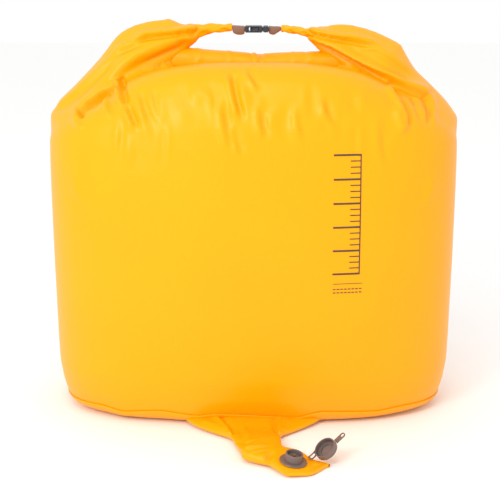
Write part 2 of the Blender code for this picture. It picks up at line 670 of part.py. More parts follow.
def build_valve():
    """Welded flange, raised collar, three-armed grille and the flap that seals it."""
    top = FLANGE_THICKNESS
    rim = VALVE_CHAMFER
    flange = turned([(BORE, 0), (FLANGE_RADIUS - rim, 0), (FLANGE_RADIUS, rim),
                     (FLANGE_RADIUS - rim, top), (BORE, top)], 40)
    placed("valve_flange", flange, VALVE_FRAME, VALVE_PIVOT)
    collar = turned([(BORE, COLLAR_LOW), (COLLAR_RADIUS, COLLAR_LOW),
                     (COLLAR_RADIUS, COLLAR_TOP - rim), (COLLAR_RADIUS - rim, COLLAR_TOP),
                     (BORE + rim, COLLAR_TOP), (BORE, COLLAR_TOP - rim)], 36)
    placed("valve_collar", collar, VALVE_FRAME, VALVE_PIVOT)

    reach = BORE - FIT_GAP
    half = GRILLE_ARM / 2
    root_x = math.sqrt(HUB_RADIUS ** 2 - half ** 2)
    arm_points = ((root_x, -half), (reach, -half), (reach, half), (root_x, half))
    between = Matrix.Rotation(math.radians(60), 2) @ Vector((HUB_RADIUS, 0))
    outline = []
    for arm in range(3):
        turn = Matrix.Rotation(2 * math.pi * arm / 3, 2)
        outline += [tuple(turn @ Vector(point)) for point in (*arm_points, between)]
    low = COLLAR_LOW + SPIDER_HEIGHT
    spider = plate(outline, low, low + GRILLE_THICKNESS)
    placed("valve_grille", spider, VALVE_FRAME, VALVE_PIVOT)
    seat = low + GRILLE_THICKNESS + FIT_GAP
    flap_top = seat + FLAP_THICKNESS
    flap_edge = BORE - FLAP_ROOM
    flap = turned([(STUD_RADIUS + FIT_GAP, seat), (flap_edge, seat),
                   (flap_edge - FIT_GAP, flap_top), (STUD_RADIUS + FIT_GAP, flap_top)], 24)
    placed("valve_flap", flap, VALVE_FRAME, VALVE_PIVOT, "silicone")
    head_low = flap_top + FLAP_LIFT + FIT_GAP
    stud = turned([(0, seat), (STUD_RADIUS, seat), (STUD_RADIUS, head_low),
                   (HUB_RADIUS, head_low), (2 * STUD_RADIUS - FIT_GAP, head_low + STUD_HEAD),
                   (0, head_low + STUD_HEAD)], 16)
    placed("flap_stud", stud, VALVE_FRAME, VALVE_PIVOT, "silicone")


def build_cap():
    """Cap, gasket, strap and pull tab, built closed over the collar and then swung open."""
    hinge = tuple(CAP_HINGE_POINT)
    roof = COLLAR_TOP + FIT_GAP + GASKET_THICKNESS + FIT_GAP
    rim = roof + CAP_WALL - CAP_HEIGHT
    edge = VALVE_CHAMFER
    cap = turned([(0, roof), (CAP_INSIDE, roof), (CAP_INSIDE, rim), (CAP_OUTSIDE, rim),
                  (CAP_OUTSIDE, roof + CAP_WALL - edge), (CAP_OUTSIDE - edge, roof + CAP_WALL),
                  (0, roof + CAP_WALL)], 36)
    placed("valve_cap", cap, OPENED, hinge)
    gasket_top = roof - FIT_GAP
    gasket_low = gasket_top - GASKET_THICKNESS
    gasket_bore = BORE - GASKET_LIP
    gasket = turned([(gasket_bore, gasket_low), (CAP_INSIDE - FIT_GAP, gasket_low),
                     (CAP_INSIDE - FIT_GAP, gasket_top), (gasket_bore, gasket_top)], 28)
    placed("cap_gasket", gasket, OPENED, hinge, "silicone")

    half = STRAP_WIDTH / 2
    grip = CAP_OUTSIDE + FIT_GAP
    neck_level = rim + STRAP_THICKNESS
    foot = CAP_HINGE - STRAP_FOOT
    run, rise = foot - grip, neck_level - HINGE_LEVEL
    sections = [(foot, HINGE_LEVEL),
                (foot - STRAP_BEND[0] * run, HINGE_LEVEL + STRAP_BEND[1] * rise),
                (grip + STRAP_FOOT, neck_level), (grip, neck_level)]
    t = STRAP_THICKNESS / 2
    corners = ((-half, -t), (half, -t), (half, t), (-half, t))
    strap_steps = [[Vector((x, y, z + dz)) for y, dz in corners] for x, z in sections]
    strap = placed("cap_strap", lofted(strap_steps)[0], OPENED, hinge)
    slot = box((grip + SLOT_ENDS[0], -STRAP_SLOT / 2, HINGE_LEVEL - PAST),
               (foot - SLOT_ENDS[1], STRAP_SLOT / 2, roof))
    slot.transform(OPENED)
    cut(strap, slot, "strap_slot")

    level = roof + CAP_WALL - TAB_DROP
    half = TAB_WIDTH / 2
    end = -(CAP_OUTSIDE + TAB_LENGTH)
    start = -(CAP_OUTSIDE + FIT_GAP)
    outline = [(start, -half), (start, half)]
    outline += arc((end + half, 0), half, 90, 270, 8)
    shape = plate(outline, level, level + TAB_THICKNESS)
    tab = placed("cap_pull_tab", shape, OPENED, hinge)
    top = level + TAB_THICKNESS + PAST
    hole = turned([(0, level - PAST), (TAB_HOLE, level - PAST), (TAB_HOLE, top), (0, top)], 16)
    hole.transform(Matrix.Translation((end + half, 0, 0)))
    hole.transform(OPENED)
    cut(tab, hole, "tab_hole")


def main():
    clear_scene()
    build_body()
    build_base()
    build_tapes()
    build_mouth_roll()
    build_horns()
    build_handle()
    build_buckle()
    build_funnel()
    build_sleeve()
    build_pouch()
    build_valve()
    build_cap()


main()
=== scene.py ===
# %% [markdown]
# # A roll-top compression sack with a pump snout
# The sack is an air-filled bag of thin coated nylon. Its mouth is rolled down, the two ends of the roll
# are bent up and clipped together, and a soft snout with a one-way valve lies in front of its base.
# A imported model already holds every solid and joint. This lesson dresses it: the frame is loaded
# first, and some of the pieces made below hang on one of its bodies and move with it.

# %% Load the frame
import math

import bmesh
import bpy
import numpy as np
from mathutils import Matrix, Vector


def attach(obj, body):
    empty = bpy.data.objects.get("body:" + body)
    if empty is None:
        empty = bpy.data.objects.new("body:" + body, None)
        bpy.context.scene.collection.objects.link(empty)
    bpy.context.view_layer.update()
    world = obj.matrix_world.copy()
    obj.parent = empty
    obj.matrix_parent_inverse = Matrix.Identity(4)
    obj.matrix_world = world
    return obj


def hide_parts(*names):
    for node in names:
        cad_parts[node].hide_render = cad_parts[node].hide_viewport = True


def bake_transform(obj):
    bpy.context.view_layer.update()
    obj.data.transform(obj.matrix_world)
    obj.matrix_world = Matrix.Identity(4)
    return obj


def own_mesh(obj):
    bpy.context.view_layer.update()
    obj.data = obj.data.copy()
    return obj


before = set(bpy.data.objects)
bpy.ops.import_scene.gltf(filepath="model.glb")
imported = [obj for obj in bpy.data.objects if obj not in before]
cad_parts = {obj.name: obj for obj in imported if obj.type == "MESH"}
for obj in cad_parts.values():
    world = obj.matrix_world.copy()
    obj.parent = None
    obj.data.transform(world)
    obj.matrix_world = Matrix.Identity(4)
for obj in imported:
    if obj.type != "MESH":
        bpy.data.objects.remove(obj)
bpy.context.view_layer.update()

# %% [markdown]
# ## Camera
# A sack this size is looked at from the front and a little above. A wide lens close by would splay its
# sides, so the camera stands well back with a long lens, which keeps them upright. The Standard view
# shows every colour as it is, without the softening of a film look.

# %% Camera
CAMERA_PLACE = (-0.005, -1.714, 0.667)
CAMERA_PITCH = 14.3  # degrees below the horizon
LENS_MM, SENSOR_MM = 85, 36
camera = bpy.data.cameras.new("studio_camera")
camera.lens, camera.sensor_width = LENS_MM, SENSOR_MM
viewer = bpy.data.objects.new("studio_camera", camera)
viewer.location = CAMERA_PLACE
viewer.rotation_euler = (math.radians(90 - CAMERA_PITCH), 0, 0)
bpy.context.scene.collection.objects.link(viewer)
bpy.context.scene.camera = viewer
bpy.context.scene.view_settings.view_transform = "Standard"
print("camera at", CAMERA_PLACE, "looking", CAMERA_PITCH, "degrees down")

# %% [markdown]
# ## Helpers
# Some steps come back for every piece, such as adding a linked node or selecting one object before an
# operator runs. Each is one small function, so that later cells say only what is special about a piece.


# %% Colours, nodes and materials
def hex_colour(code):
    """An sRGB hex colour as linear RGBA."""
    parts = [int(code[i:i + 2], 16) / 255 for i in (1, 3, 5)]
    linear = [c / 12.92 if c <= 0.04045 else ((c + 0.055) / 1.055) ** 2.4 for c in parts]
    return (*linear, 1.0)


def node(tree, kind, inputs=None, **settings):
    """Adds one node: settings are its own properties, inputs are values or the sockets it reads."""
    made = tree.nodes.new(kind)
    for key, value in settings.items():
        setattr(made, key, value)
    for key, value in (inputs or {}).items():
        if isinstance(value, bpy.types.NodeSocket):
            tree.links.new(value, made.inputs[key])
        else:
            made.inputs[key].default_value = value
    return made


def new_material(name, **values):
    """A material with its Principled shader's own sockets set; returns it, its tree and the shader."""
    made = bpy.data.materials.new(name)
    made.use_nodes = True
    shader = made.node_tree.nodes["Principled BSDF"]
    for key, value in values.items():
        shader.inputs[key.replace("_", " ")].default_value = value
    return made, made.node_tree, shader


print("amber dye in linear light", [round(part, 3) for part in hex_colour("#FFAA00")])


# %% Selecting and modifying
def nothing_selected():
    """Leaves edit mode and deselects every object, the CAD nodes among them."""
    if bpy.context.object and bpy.context.object.mode != "OBJECT":
        bpy.ops.object.mode_set(mode="OBJECT")
    bpy.ops.object.select_all(action="DESELECT")


def only(piece):
    """Makes piece the one selected and active object."""
    nothing_selected()
    piece.select_set(True)
    bpy.context.view_layer.objects.active = piece


def modify(piece, kind, **settings):
    """Adds a modifier, sets it and applies it."""
    only(piece)
    step = piece.modifiers.new(kind, kind)
    for key, value in settings.items():
        setattr(step, key, value)
    bpy.ops.object.modifier_apply(modifier=step.name)


def select_faces(piece, wanted):
    """Enters edit mode with only those faces selected whose middle and normal are wanted."""
    only(piece)
    bpy.ops.object.mode_set(mode="EDIT")
    bpy.ops.mesh.select_all(action="DESELECT")
    work = bmesh.from_edit_mesh(piece.data)
    for face in work.faces:
        face.select_set(wanted(face.calc_center_median(), face.normal))
    bmesh.update_edit_mesh(piece.data)


nothing_selected()
print("objects left selected", len(bpy.context.selected_objects))


# %% Corners as rows of numbers
def places(piece, kind="co"):
    """One row of x, y, z for each corner of a piece: its place, or another vector of that kind."""
    found = np.empty(len(piece.data.vertices) * 3)
    piece.data.vertices.foreach_get(kind, found)
    return found.reshape(-1, 3)


def normals(piece):
    """The direction in which the skin faces at each corner."""
    return places(piece, "normal")


def measure(piece):
    """Prints a piece's corners and its size along each axis."""
    print(piece.name, len(piece.data.vertices), "corners,", np.ptp(places(piece), axis=0).round(4), "m")


def move_to(piece, rows):
    """Puts each corner at its row."""
    piece.data.vertices.foreach_set("co", np.ascontiguousarray(rows, np.float32).ravel())
    piece.data.update()


measure(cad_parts["valve_collar"])

# %% [markdown]
# ## Skins made ring by ring
# Every soft piece here is a tube that changes its section along its length: the body, a wing, a roll, a
# twisted arm, a flat sleeve. A loft would be one way. Extruding the open edge of a circle again and
# again, as by hand, gives clean bands of four-sided faces, and each ring can be set exactly.

# %% Extruded skins
SAME_SPOT = 1e-10  # square metres: two corners closer than this are one


def extruded_skin(name, rings, caps=(True, True)):
    """A circle primitive extruded once for each further ring, its corners moved to that ring."""
    rings = [np.asarray(ring, float) for ring in rings]
    nothing_selected()
    bpy.ops.mesh.primitive_circle_add(vertices=len(rings[0]), radius=1.0)
    piece = bpy.context.object
    piece.name = piece.data.name = name
    move_to(piece, rings[0])
    bpy.ops.object.mode_set(mode="EDIT")
    bpy.ops.mesh.select_all(action="SELECT")
    for was, ring in zip(rings, rings[1:]):
        bpy.ops.mesh.extrude_edges_move()
        work = bmesh.from_edit_mesh(piece.data)
        for vert in work.verts:
            if vert.select:
                nearest = int(np.argmin(((was - np.array(vert.co)) ** 2).sum(1)))
                vert.co = ring[nearest]
        bmesh.update_edit_mesh(piece.data)
    for wanted, ring in zip(caps, (rings[-1], rings[0])):
        if wanted:
            bpy.ops.mesh.select_all(action="DESELECT")
            work = bmesh.from_edit_mesh(piece.data)
            rim = [e for e in work.edges if e.is_boundary and all(
                ((ring - np.array(v.co)) ** 2).sum(1).min() < SAME_SPOT for v in e.verts)]
            for edge in rim:
                edge.select_set(True)
            bmesh.update_edit_mesh(piece.data)
            bpy.ops.mesh.edge_face_add()
    bpy.ops.mesh.select_all(action="SELECT")
    bpy.ops.mesh.normals_make_consistent(inside=False)
    bpy.ops.object.mode_set(mode="OBJECT")
    return piece


print("corners closer than", SAME_SPOT ** 0.5, "m count as one")


# %% Weave map and finish
def weave_map(piece):
    """A UV map in metres, laid on each face along the two axes that it faces least."""
    rows = places(piece)
    corner = np.empty(len(piece.data.loops), np.int32)
    piece.data.loops.foreach_get("vertex_index", corner)
    sides = np.empty(len(piece.data.polygons), np.int32)
    piece.data.polygons.foreach_get("loop_total", sides)
    facing = np.empty(len(piece.data.polygons) * 3)
    piece.data.polygons.foreach_get("normal", facing)
    axis = np.repeat(np.abs(facing.reshape(-1, 3)).argmax(1), sides)
    flat = np.array([[1, 2], [0, 2], [0, 1]])[axis]
    spots = rows[corner]
    uv = np.take_along_axis(spots, flat, 1)
    piece.data.uv_layers.new(name="weave").data.foreach_set("uv", uv.astype(np.float32).ravel())


def finish(piece, body, finish_of, *stands_for, slot="coated_fabric", angle=None):
    """Shades a finished piece, gives it its material and body, and hides the nodes it replaces; slot is not
    used.
    """
    only(piece)
    if angle is None:
        bpy.ops.object.shade_smooth()
    else:
        bpy.ops.object.shade_smooth_by_angle(angle=math.radians(angle))
    piece.data.materials.clear()
    piece.data.materials.append(finish_of)
    weave_map(piece)
    if body:
        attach(piece, body)
    if stands_for:
        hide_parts(*stands_for)
    measure(piece)


# %% [markdown]
# ## Floor and light
# The light is plain studio light: a soft source high on the left, a weaker one above the front, and
# an even sky that fills the folds. The floor is a pale matt sheet that only has to catch a soft shadow.

# %% Floor and sky
FLOOR_SIDE = 14
nothing_selected()
bpy.ops.mesh.primitive_plane_add(size=FLOOR_SIDE, location=(0, 0, 0))
floor = bpy.context.object
floor.name = "studio_floor"
paper, _, _ = new_material("matt_studio_paper", Base_Color=hex_colour("#FCFCFB"), Roughness=0.9)
floor.data.materials.append(paper)

world = bpy.data.worlds.new("studio_sky")
world.use_nodes = True
world.node_tree.nodes["Background"].inputs["Color"].default_value = hex_colour("#FFFFFF")
world.node_tree.nodes["Background"].inputs["Strength"].default_value = 1.0
bpy.context.scene.world = world
print(floor.name, FLOOR_SIDE, "m across, under", world.name)


# %% Lamps
def lamp(name, place, aim, size, power):
    """A square lamp of this size in metres and power in watts, turned towards aim."""
    light = bpy.data.lights.new(name, "AREA")
    light.shape, light.size, light.energy = "SQUARE", size, power
    holder = bpy.data.objects.new(name, light)
    holder.location = place
    holder.rotation_euler = (Vector(aim) - Vector(place)).to_track_quat("-Z", "Y").to_euler()
    bpy.context.scene.collection.objects.link(holder)
    print(name, size, "m square,", power, "W")


lamp("key_softbox", (-1.25, -1.95, 1.40), (0, 0, 0.36), 0.7, 21)
lamp("top_softbox", (-0.20, -1.40, 1.80), (0, -0.10, 0.30), 0.6, 6)

# %% [markdown]
# ## The coated nylon
# The sack is plain-woven nylon, dyed amber and coated with polyurethane. The coating fills the weave,
# so it reads as smooth and half glossy with a soft broad highlight, and a paler rim where the cloth
# turns away. Fine crumples and a faint reinforcing grid are less than a millimetre deep, so they are
# bump only.


# %% Threads that cross
def crossed_threads(tree, uv, pitch, operation):
    """Two wave textures at right angles, a ridge for each thread, joined by a math operation."""
    scale = 2 * math.pi / (20 * pitch)  # a wave texture turns 20 radians per unit
    across, along = [
        node(tree, "ShaderNodeTexWave", {"Vector": uv, "Scale": scale}, bands_direction=way)
        for way in ("X", "Y")]
    return node(tree, "ShaderNodeMath", {0: across.outputs["Fac"], 1: along.outputs["Fac"]},
                operation=operation)


# %% Coated nylon
GRID_PITCH = 0.0055  # of the reinforcing threads
CLOUDS_PER_METRE = 9.0  # patches of thicker coating, about 110 mm across
CRUMPLES_PER_METRE = 75.0  # dents about 13 mm across


def coated_nylon(name, dye, deep):
    """Polyurethane-coated nylon: even amber, cloudy where the coating varies, soft gloss."""
    made, tree, shader = new_material(
        name, Roughness=0.50, IOR=1.5, Specular_IOR_Level=0.30,
        Specular_Tint=hex_colour("#FFA818"), Sheen_Weight=0.03, Sheen_Roughness=0.30,
        Sheen_Tint=hex_colour("#FFB870"), Coat_Weight=0.42, Coat_Roughness=0.36)
    where = node(tree, "ShaderNodeTexCoord").outputs
    cloud = node(tree, "ShaderNodeTexNoise", {"Vector": where["Object"], "Scale": CLOUDS_PER_METRE,
                                              "Detail": 3.0})
    colour = node(tree, "ShaderNodeMix", {0: cloud.outputs["Fac"], 6: hex_colour(dye),
                                          7: hex_colour(deep)}, data_type="RGBA")
    tree.links.new(colour.outputs[2], shader.inputs["Base Color"])
    crumples = node(tree, "ShaderNodeTexNoise", {"Vector": where["Object"], "Scale": CRUMPLES_PER_METRE,
                                                 "Detail": 5.0, "Roughness": 0.55})
    grid = crossed_threads(tree, where["UV"], GRID_PITCH, "MAXIMUM")
    threads = node(tree, "ShaderNodeMath", {0: grid.outputs[0], 1: 8.0}, operation="POWER")
    first = node(tree, "ShaderNodeBump", {"Height": crumples.outputs["Fac"], "Strength": 0.5,
                                          "Distance": 0.0016})
    second = node(tree, "ShaderNodeBump", {"Height": threads.outputs[0], "Strength": 0.35,
                                           "Distance": 0.0002, "Normal": first.outputs["Normal"]})
    tree.links.new(second.outputs["Normal"], shader.inputs["Normal"])
    return made


nylon = coated_nylon("coated_nylon_taffeta", "#FFAA00", "#FFA400")
print(nylon.name, "with a", GRID_PITCH * 1000, "mm grid")

# %% [markdown]
# ## The air-filled body
# The body is one tube of cloth, sewn to a base and gathered at the top. Air makes it a pillow, and the
# corners of the mouth are drawn up behind the pillow's front into two wings. Pillow and wings are
# each extruded ring by ring, then a voxel remesh welds them into one skin, which leaves the deep
# crease between them that real cloth has there.

# %% Pillow rings
RING = 96  # corners round the body
SQUARENESS = 2.6  # superellipse exponent of the plan
# Height, half width, half depth, and how far the ring follows the arched top.
PILLOW = [
    (0.0035, 0.2500, 0.1060, 0.0), (0.0070, 0.2680, 0.1180, 0.0), (0.0190, 0.2820, 0.1300, 0.0),
    (0.0400, 0.2880, 0.1380, 0.0), (0.0700, 0.2925, 0.1450, 0.0), (0.1100, 0.2935, 0.1485, 0.0),
    (0.1600, 0.2940, 0.1510, 0.0), (0.2200, 0.2948, 0.1518, 0.0), (0.2800, 0.2952, 0.1515, 0.0),
    (0.3300, 0.2955, 0.1490, 0.0), (0.3700, 0.2955, 0.1445, 0.0), (0.4050, 0.2950, 0.1395, 0.02),
    (0.4320, 0.2880, 0.1345, 0.08), (0.4550, 0.2740, 0.1280, 0.20), (0.4760, 0.2620, 0.1200, 0.40),
    (0.4930, 0.2540, 0.1110, 0.62), (0.5050, 0.2440, 0.1010, 0.82), (0.5120, 0.2360, 0.0900, 0.95),
    (0.5150, 0.2300, 0.0780, 1.00), (0.5140, 0.2250, 0.0620, 1.00), (0.5110, 0.2220, 0.0440, 1.00),
    (0.5090, 0.2200, 0.0250, 1.00), (0.5080, 0.2180, 0.0110, 1.00),
]
ARCH_DROP = 0.075  # of the ridge, at ARCH_REACH from the middle
ARCH_REACH = 0.250
ARCH_POWER = 3.2


def superellipse(half_width, half_depth, count, power=SQUARENESS):
    """An oval whose corners fill out as the power grows; 2 is a plain ellipse."""
    turn = np.linspace(0, 2 * np.pi, count, endpoint=False)
    bend = 2 / power
    return (np.copysign(np.abs(np.cos(turn)) ** bend, np.cos(turn)) * half_width,
            np.copysign(np.abs(np.sin(turn)) ** bend, np.sin(turn)) * half_depth)


def pillow_rings():
    """The rings of the pillow, the upper ones bent down with the arched ridge."""
    for height, half_width, half_depth, follow in PILLOW:
        x, y = superellipse(half_width, half_depth, RING)
        drop = ARCH_DROP * (np.abs(x) / ARCH_REACH) ** ARCH_POWER
        yield np.stack([x, y, height - follow * drop], 1)


print(len(PILLOW), "pillow rings, widest", 2 * max(row[1] for row in PILLOW), "m")

# %% Wing rings
# Each wing: outer edge (x, z), inner edge (x, z), half depth; distances from the middle.
LEFT_WING = [
    ((0.2940, 0.360), (0.180, 0.300), 0.110), ((0.2945, 0.405), (0.190, 0.360), 0.098),
    ((0.2945, 0.4330), (0.192, 0.396), 0.086),
    ((0.2920, 0.4395), (0.191, 0.402), 0.083), ((0.2670, 0.4640), (0.180, 0.430), 0.069),
    ((0.2420, 0.4910), (0.166, 0.455), 0.058), ((0.2180, 0.5180), (0.150, 0.476), 0.049),
    ((0.1920, 0.5500), (0.132, 0.490), 0.040), ((0.1600, 0.5650), (0.116, 0.504), 0.031),
    ((0.1240, 0.5705), (0.1010, 0.520), 0.0235), ((0.1170, 0.5700), (0.0960, 0.525), 0.0205),
    ((0.1030, 0.5640), (0.0870, 0.534), 0.0150),
    ((0.0930, 0.5610), (0.0790, 0.5415), 0.0105), ((0.0860, 0.5600), (0.0750, 0.5480), 0.0070),
    ((0.0800, 0.5570), (0.0760, 0.5530), 0.0025),
]
RIGHT_WING = [
    ((0.2950, 0.355), (0.180, 0.300), 0.110), ((0.2955, 0.400), (0.190, 0.360), 0.098),
    ((0.2965, 0.4270), (0.192, 0.396), 0.086), ((0.2945, 0.4340), (0.191, 0.403), 0.083),
    ((0.2780, 0.4560), (0.182, 0.425), 0.071),
    ((0.2560, 0.4780), (0.170, 0.450), 0.060), ((0.2310, 0.5020), (0.155, 0.468), 0.050),
    ((0.2130, 0.5320), (0.138, 0.488), 0.042), ((0.2080, 0.5370), (0.134, 0.492), 0.040),
    ((0.1740, 0.5530), (0.118, 0.505), 0.032), ((0.1420, 0.5620), (0.1020, 0.5190), 0.0235),
    ((0.1180, 0.5635), (0.0890, 0.5300), 0.0165),
    ((0.0990, 0.5590), (0.0770, 0.5415), 0.0110), ((0.0880, 0.5560), (0.0750, 0.5450), 0.0065),
    ((0.0820, 0.5530), (0.0780, 0.5490), 0.0025),
]
WING_RING = 40  # corners round a wing
WING_SQUARENESS = 2.1
THINNER_OUTSIDE = 0.45  # share of its depth that a wing loses towards its outer edge


def smoothed(rows, steps):
    """Rows of numbers sampled steps times between each pair, on a Catmull-Rom curve."""
    rows = np.asarray(rows, float)
    ends = np.vstack([2 * rows[0] - rows[1], rows, 2 * rows[-1] - rows[-2]])
    found = []
    for k in range(1, len(rows)):
        a, b, c, d = ends[k - 1:k + 3]
        for t in np.arange(steps) / steps:
            found.append(0.5 * (2 * b + (c - a) * t + (2 * a - 5 * b + 4 * c - d) * t ** 2
                                + (3 * b - a - 3 * c + d) * t ** 3))
    return np.array(found + [rows[-1]])


def wing_rings(stations, side):
    """The rings of one wing, each from its outer to its inner edge; side is -1 left or 1 right."""
    rows = smoothed([(*outer, *inner, half) for outer, inner, half in stations], 3)
    along, deep = superellipse(1.0, 1.0, WING_RING, WING_SQUARENESS)
    for ox, oz, ix, iz, half in rows:
        middle, reach = np.array([ox + ix, oz + iz]) / 2, np.array([ox - ix, oz - iz]) / 2
        flat = middle + along[:, None] * reach
        thin = 1 - THINNER_OUTSIDE * np.clip(along, 0, 1) ** 1.5
        yield np.stack([side * flat[:, 0], deep * half * thin, flat[:, 1]], 1)


print("wing rings", len(LEFT_WING), "left and", len(RIGHT_WING), "right")

# %% One skin of pillow and wings
VOXEL = 0.0046  # small enough to keep the crease, large enough to keep the piece light
body_cloth = extruded_skin("bag_body", list(pillow_rings()))
wings = [extruded_skin("left_wing", list(wing_rings(LEFT_WING, -1))),
         extruded_skin("right_wing", list(wing_rings(RIGHT_WING, 1)))]
only(body_cloth)
for wing in wings:
    wing.select_set(True)
bpy.ops.object.join()
modify(body_cloth, "REMESH", mode="VOXEL", voxel_size=VOXEL, use_smooth_shade=True)
modify(body_cloth, "SMOOTH", factor=0.5, iterations=3)
print("body skin", len(body_cloth.data.polygons), "faces")

# %% [markdown]
# ## Folds, tucks and puckers
# Thin cloth that is gathered shows lines: long folds that run from the wings' wide ends to the
# twisted handle, tucks where the pillow meets a wing, and short puckers hanging below the ridge.
# Simulated cloth would put them anywhere, so they are drawn: each is a path in the front view, and the
# corners near it move along their normals. The cells are first made finer where the folds will be.

# %% Finer cells where the folds are
SHOULDERS_FROM = 0.46  # above this height the whole front has folds
PUCKERS_FROM = 0.385  # above this one only the part of the front that stands forward
WING_BACKS_FROM = 0.47
SIDES_FROM = 0.27  # distance from the middle beyond which a side seam runs


def will_fold(middle, normal):
    """Whether a cell lies where folds, puckers or a side seam will be."""
    on_front = normal.y < 0.2 and ((middle.z > SHOULDERS_FROM and middle.y < 0.02)
                                   or (middle.z > PUCKERS_FROM and middle.y < -0.05))
    on_wing_back = (normal.y > 0.3 and middle.z > WING_BACKS_FROM
                    and abs(middle.x) > 0.075 and middle.y < 0.05)
    on_side_seam = abs(middle.y) < 0.009 and abs(middle.x) > SIDES_FROM
    return on_front or on_wing_back or on_side_seam


select_faces(body_cloth, will_fold)
bpy.ops.mesh.subdivide(number_cuts=1, smoothness=0.0)
bpy.ops.object.mode_set(mode="OBJECT")
print("body skin with finer cells", len(body_cloth.data.polygons), "faces")


# %% How far a corner lies from a path
FRONT_VIEW, PLAN_VIEW, SIDE_VIEW = (0, 2), (0, 1), (1, 2)  # the two axes that each view shows


def from_path(rows, path, view):
    """Signed distance of each corner from a path in one view, and how far along it lies."""
    spots = rows[:, list(view)]
    path = np.asarray(path, float)
    steps = np.linalg.norm(np.diff(path, axis=0), axis=1)
    best = np.full(len(rows), np.inf)
    signed, along = best.copy(), np.zeros(len(rows))
    for k, (a, b) in enumerate(zip(path, path[1:])):
        run = (b - a) / steps[k]
        ahead = np.clip((spots - a) @ run, 0, steps[k])
        away = spots - a - ahead[:, None] * run
        distance = np.linalg.norm(away, axis=1)
        nearer = distance < best
        best[nearer] = distance[nearer]
        side = np.sign(run[0] * away[:, 1] - run[1] * away[:, 0])
        signed[nearer] = (distance * side)[nearer]
        along[nearer] = (steps[:k].sum() + ahead[nearer]) / steps.sum()
    return signed, along


print("0.3 m above a level path:", from_path(np.array([[0.5, 0, 0.3]]), [(0, 0), (1, 0)], FRONT_VIEW))


# %% Four kinds of fold
def fold(rows, path, depth, width, kind, fade, view=FRONT_VIEW):
    """Push along the normal near a path: a valley, a ridge, a tuck with one steep side, or a lip.

    A tuck rises on one side of its path and sinks on the other. A lip falls off steeply on one side
    and has a shallow groove beside it, as where one layer lies on another.
    """
    signed, along = from_path(rows, path, view)
    strength = np.clip(along / fade[0], 0, 1) * np.clip((1 - along) / fade[1], 0, 1)
    strength = strength * strength * (3 - 2 * strength)
    d = signed / width
    if kind == "valley":
        shape = -np.exp(-d * d)
    elif kind == "ridge":
        shape = np.exp(-d * d)
    elif kind == "tuck":
        shape = 2.3 * d * np.exp(-2 * d * d)
    else:
        shape = np.where(d > 0, np.exp(-d * d), np.exp(-16 * d * d)) - 0.6 * np.exp(-4 * (d + 0.6) ** 2)
    return depth * strength * shape


print("a tuck rises by", round(2.3 * 0.5 * math.exp(-0.5), 2), "of its depth")

# %% Folds of the two wings
# Path (x, z), depth, half width, kind, and the shares of the path over which it fades in and out.
LEFT_FOLDS = [
    ([(-0.178, 0.5395), (-0.15, 0.549), (-0.12, 0.5515), (-0.08, 0.5545)],
     0.0075, 0.006, "lip", (0.25, 0.05)),
    ([(-0.202, 0.518), (-0.186, 0.53), (-0.166, 0.537), (-0.145, 0.541)],
     0.0045, 0.0065, "tuck", (0.35, 0.5)),
    ([(-0.29, 0.441), (-0.252, 0.47), (-0.219, 0.499), (-0.188, 0.528)], 0.004, 0.0085, "lip", (0.15, 0.3)),
    ([(-0.218, 0.484), (-0.196, 0.503), (-0.165, 0.523), (-0.12, 0.5385), (-0.08, 0.551)],
     0.0048, 0.009, "ridge", (0.4, 0.1)),
    ([(-0.236, 0.45), (-0.21, 0.474), (-0.18, 0.498), (-0.14, 0.5195), (-0.085, 0.5425)],
     0.005, 0.008, "valley", (0.1, 0.1)),
    ([(-0.241, 0.4375), (-0.2445, 0.447), (-0.233, 0.46), (-0.216, 0.472), (-0.191, 0.485),
      (-0.178, 0.494)],
     0.0066, 0.006, "lip", (0.05, 0.3)),
    ([(-0.24, 0.4385), (-0.2415, 0.447), (-0.231, 0.4585), (-0.212, 0.471), (-0.188, 0.484)],
     0.0056, 0.0038, "valley", (0.06, 0.4)),
    ([(-0.25, 0.452), (-0.25, 0.438), (-0.24, 0.428), (-0.23, 0.43)], 0.004, 0.0048, "ridge", (0.3, 0.4)),
    ([(-0.16, 0.512), (-0.13, 0.525), (-0.1, 0.5365)], 0.003, 0.006, "tuck", (0.3, 0.2)),
]
RIGHT_FOLDS = [
    ([(0.078, 0.5525), (0.111, 0.547), (0.145, 0.543), (0.182, 0.534)], 0.0075, 0.006, "lip", (0.05, 0.25)),
    ([(0.15, 0.537), (0.176, 0.529), (0.2, 0.515), (0.23, 0.493)], 0.003, 0.008, "lip", (0.2, 0.3)),
    ([(0.078, 0.545), (0.111, 0.533), (0.157, 0.509), (0.192, 0.4925), (0.225, 0.477),
      (0.249, 0.467)],
     0.0085, 0.008, "lip", (0.1, 0.04)),
    ([(0.12, 0.538), (0.16, 0.521), (0.2, 0.5), (0.235, 0.481)], 0.0036, 0.008, "valley", (0.2, 0.2)),
    ([(0.247, 0.468), (0.25, 0.45), (0.246, 0.424)], 0.0055, 0.008, "tuck", (0.06, 0.4)),
    ([(0.186, 0.488), (0.201, 0.466), (0.211, 0.446), (0.213, 0.424)], -0.007, 0.0075, "tuck", (0.1, 0.3)),
    ([(0.195, 0.462), (0.198, 0.442), (0.207, 0.42)], 0.005, 0.006, "ridge", (0.3, 0.3)),
    ([(0.224, 0.47), (0.23, 0.452), (0.238, 0.432)], 0.0036, 0.0065, "tuck", (0.2, 0.4)),
]
print(len(LEFT_FOLDS), "folds on the left wing,", len(RIGHT_FOLDS), "on the right")

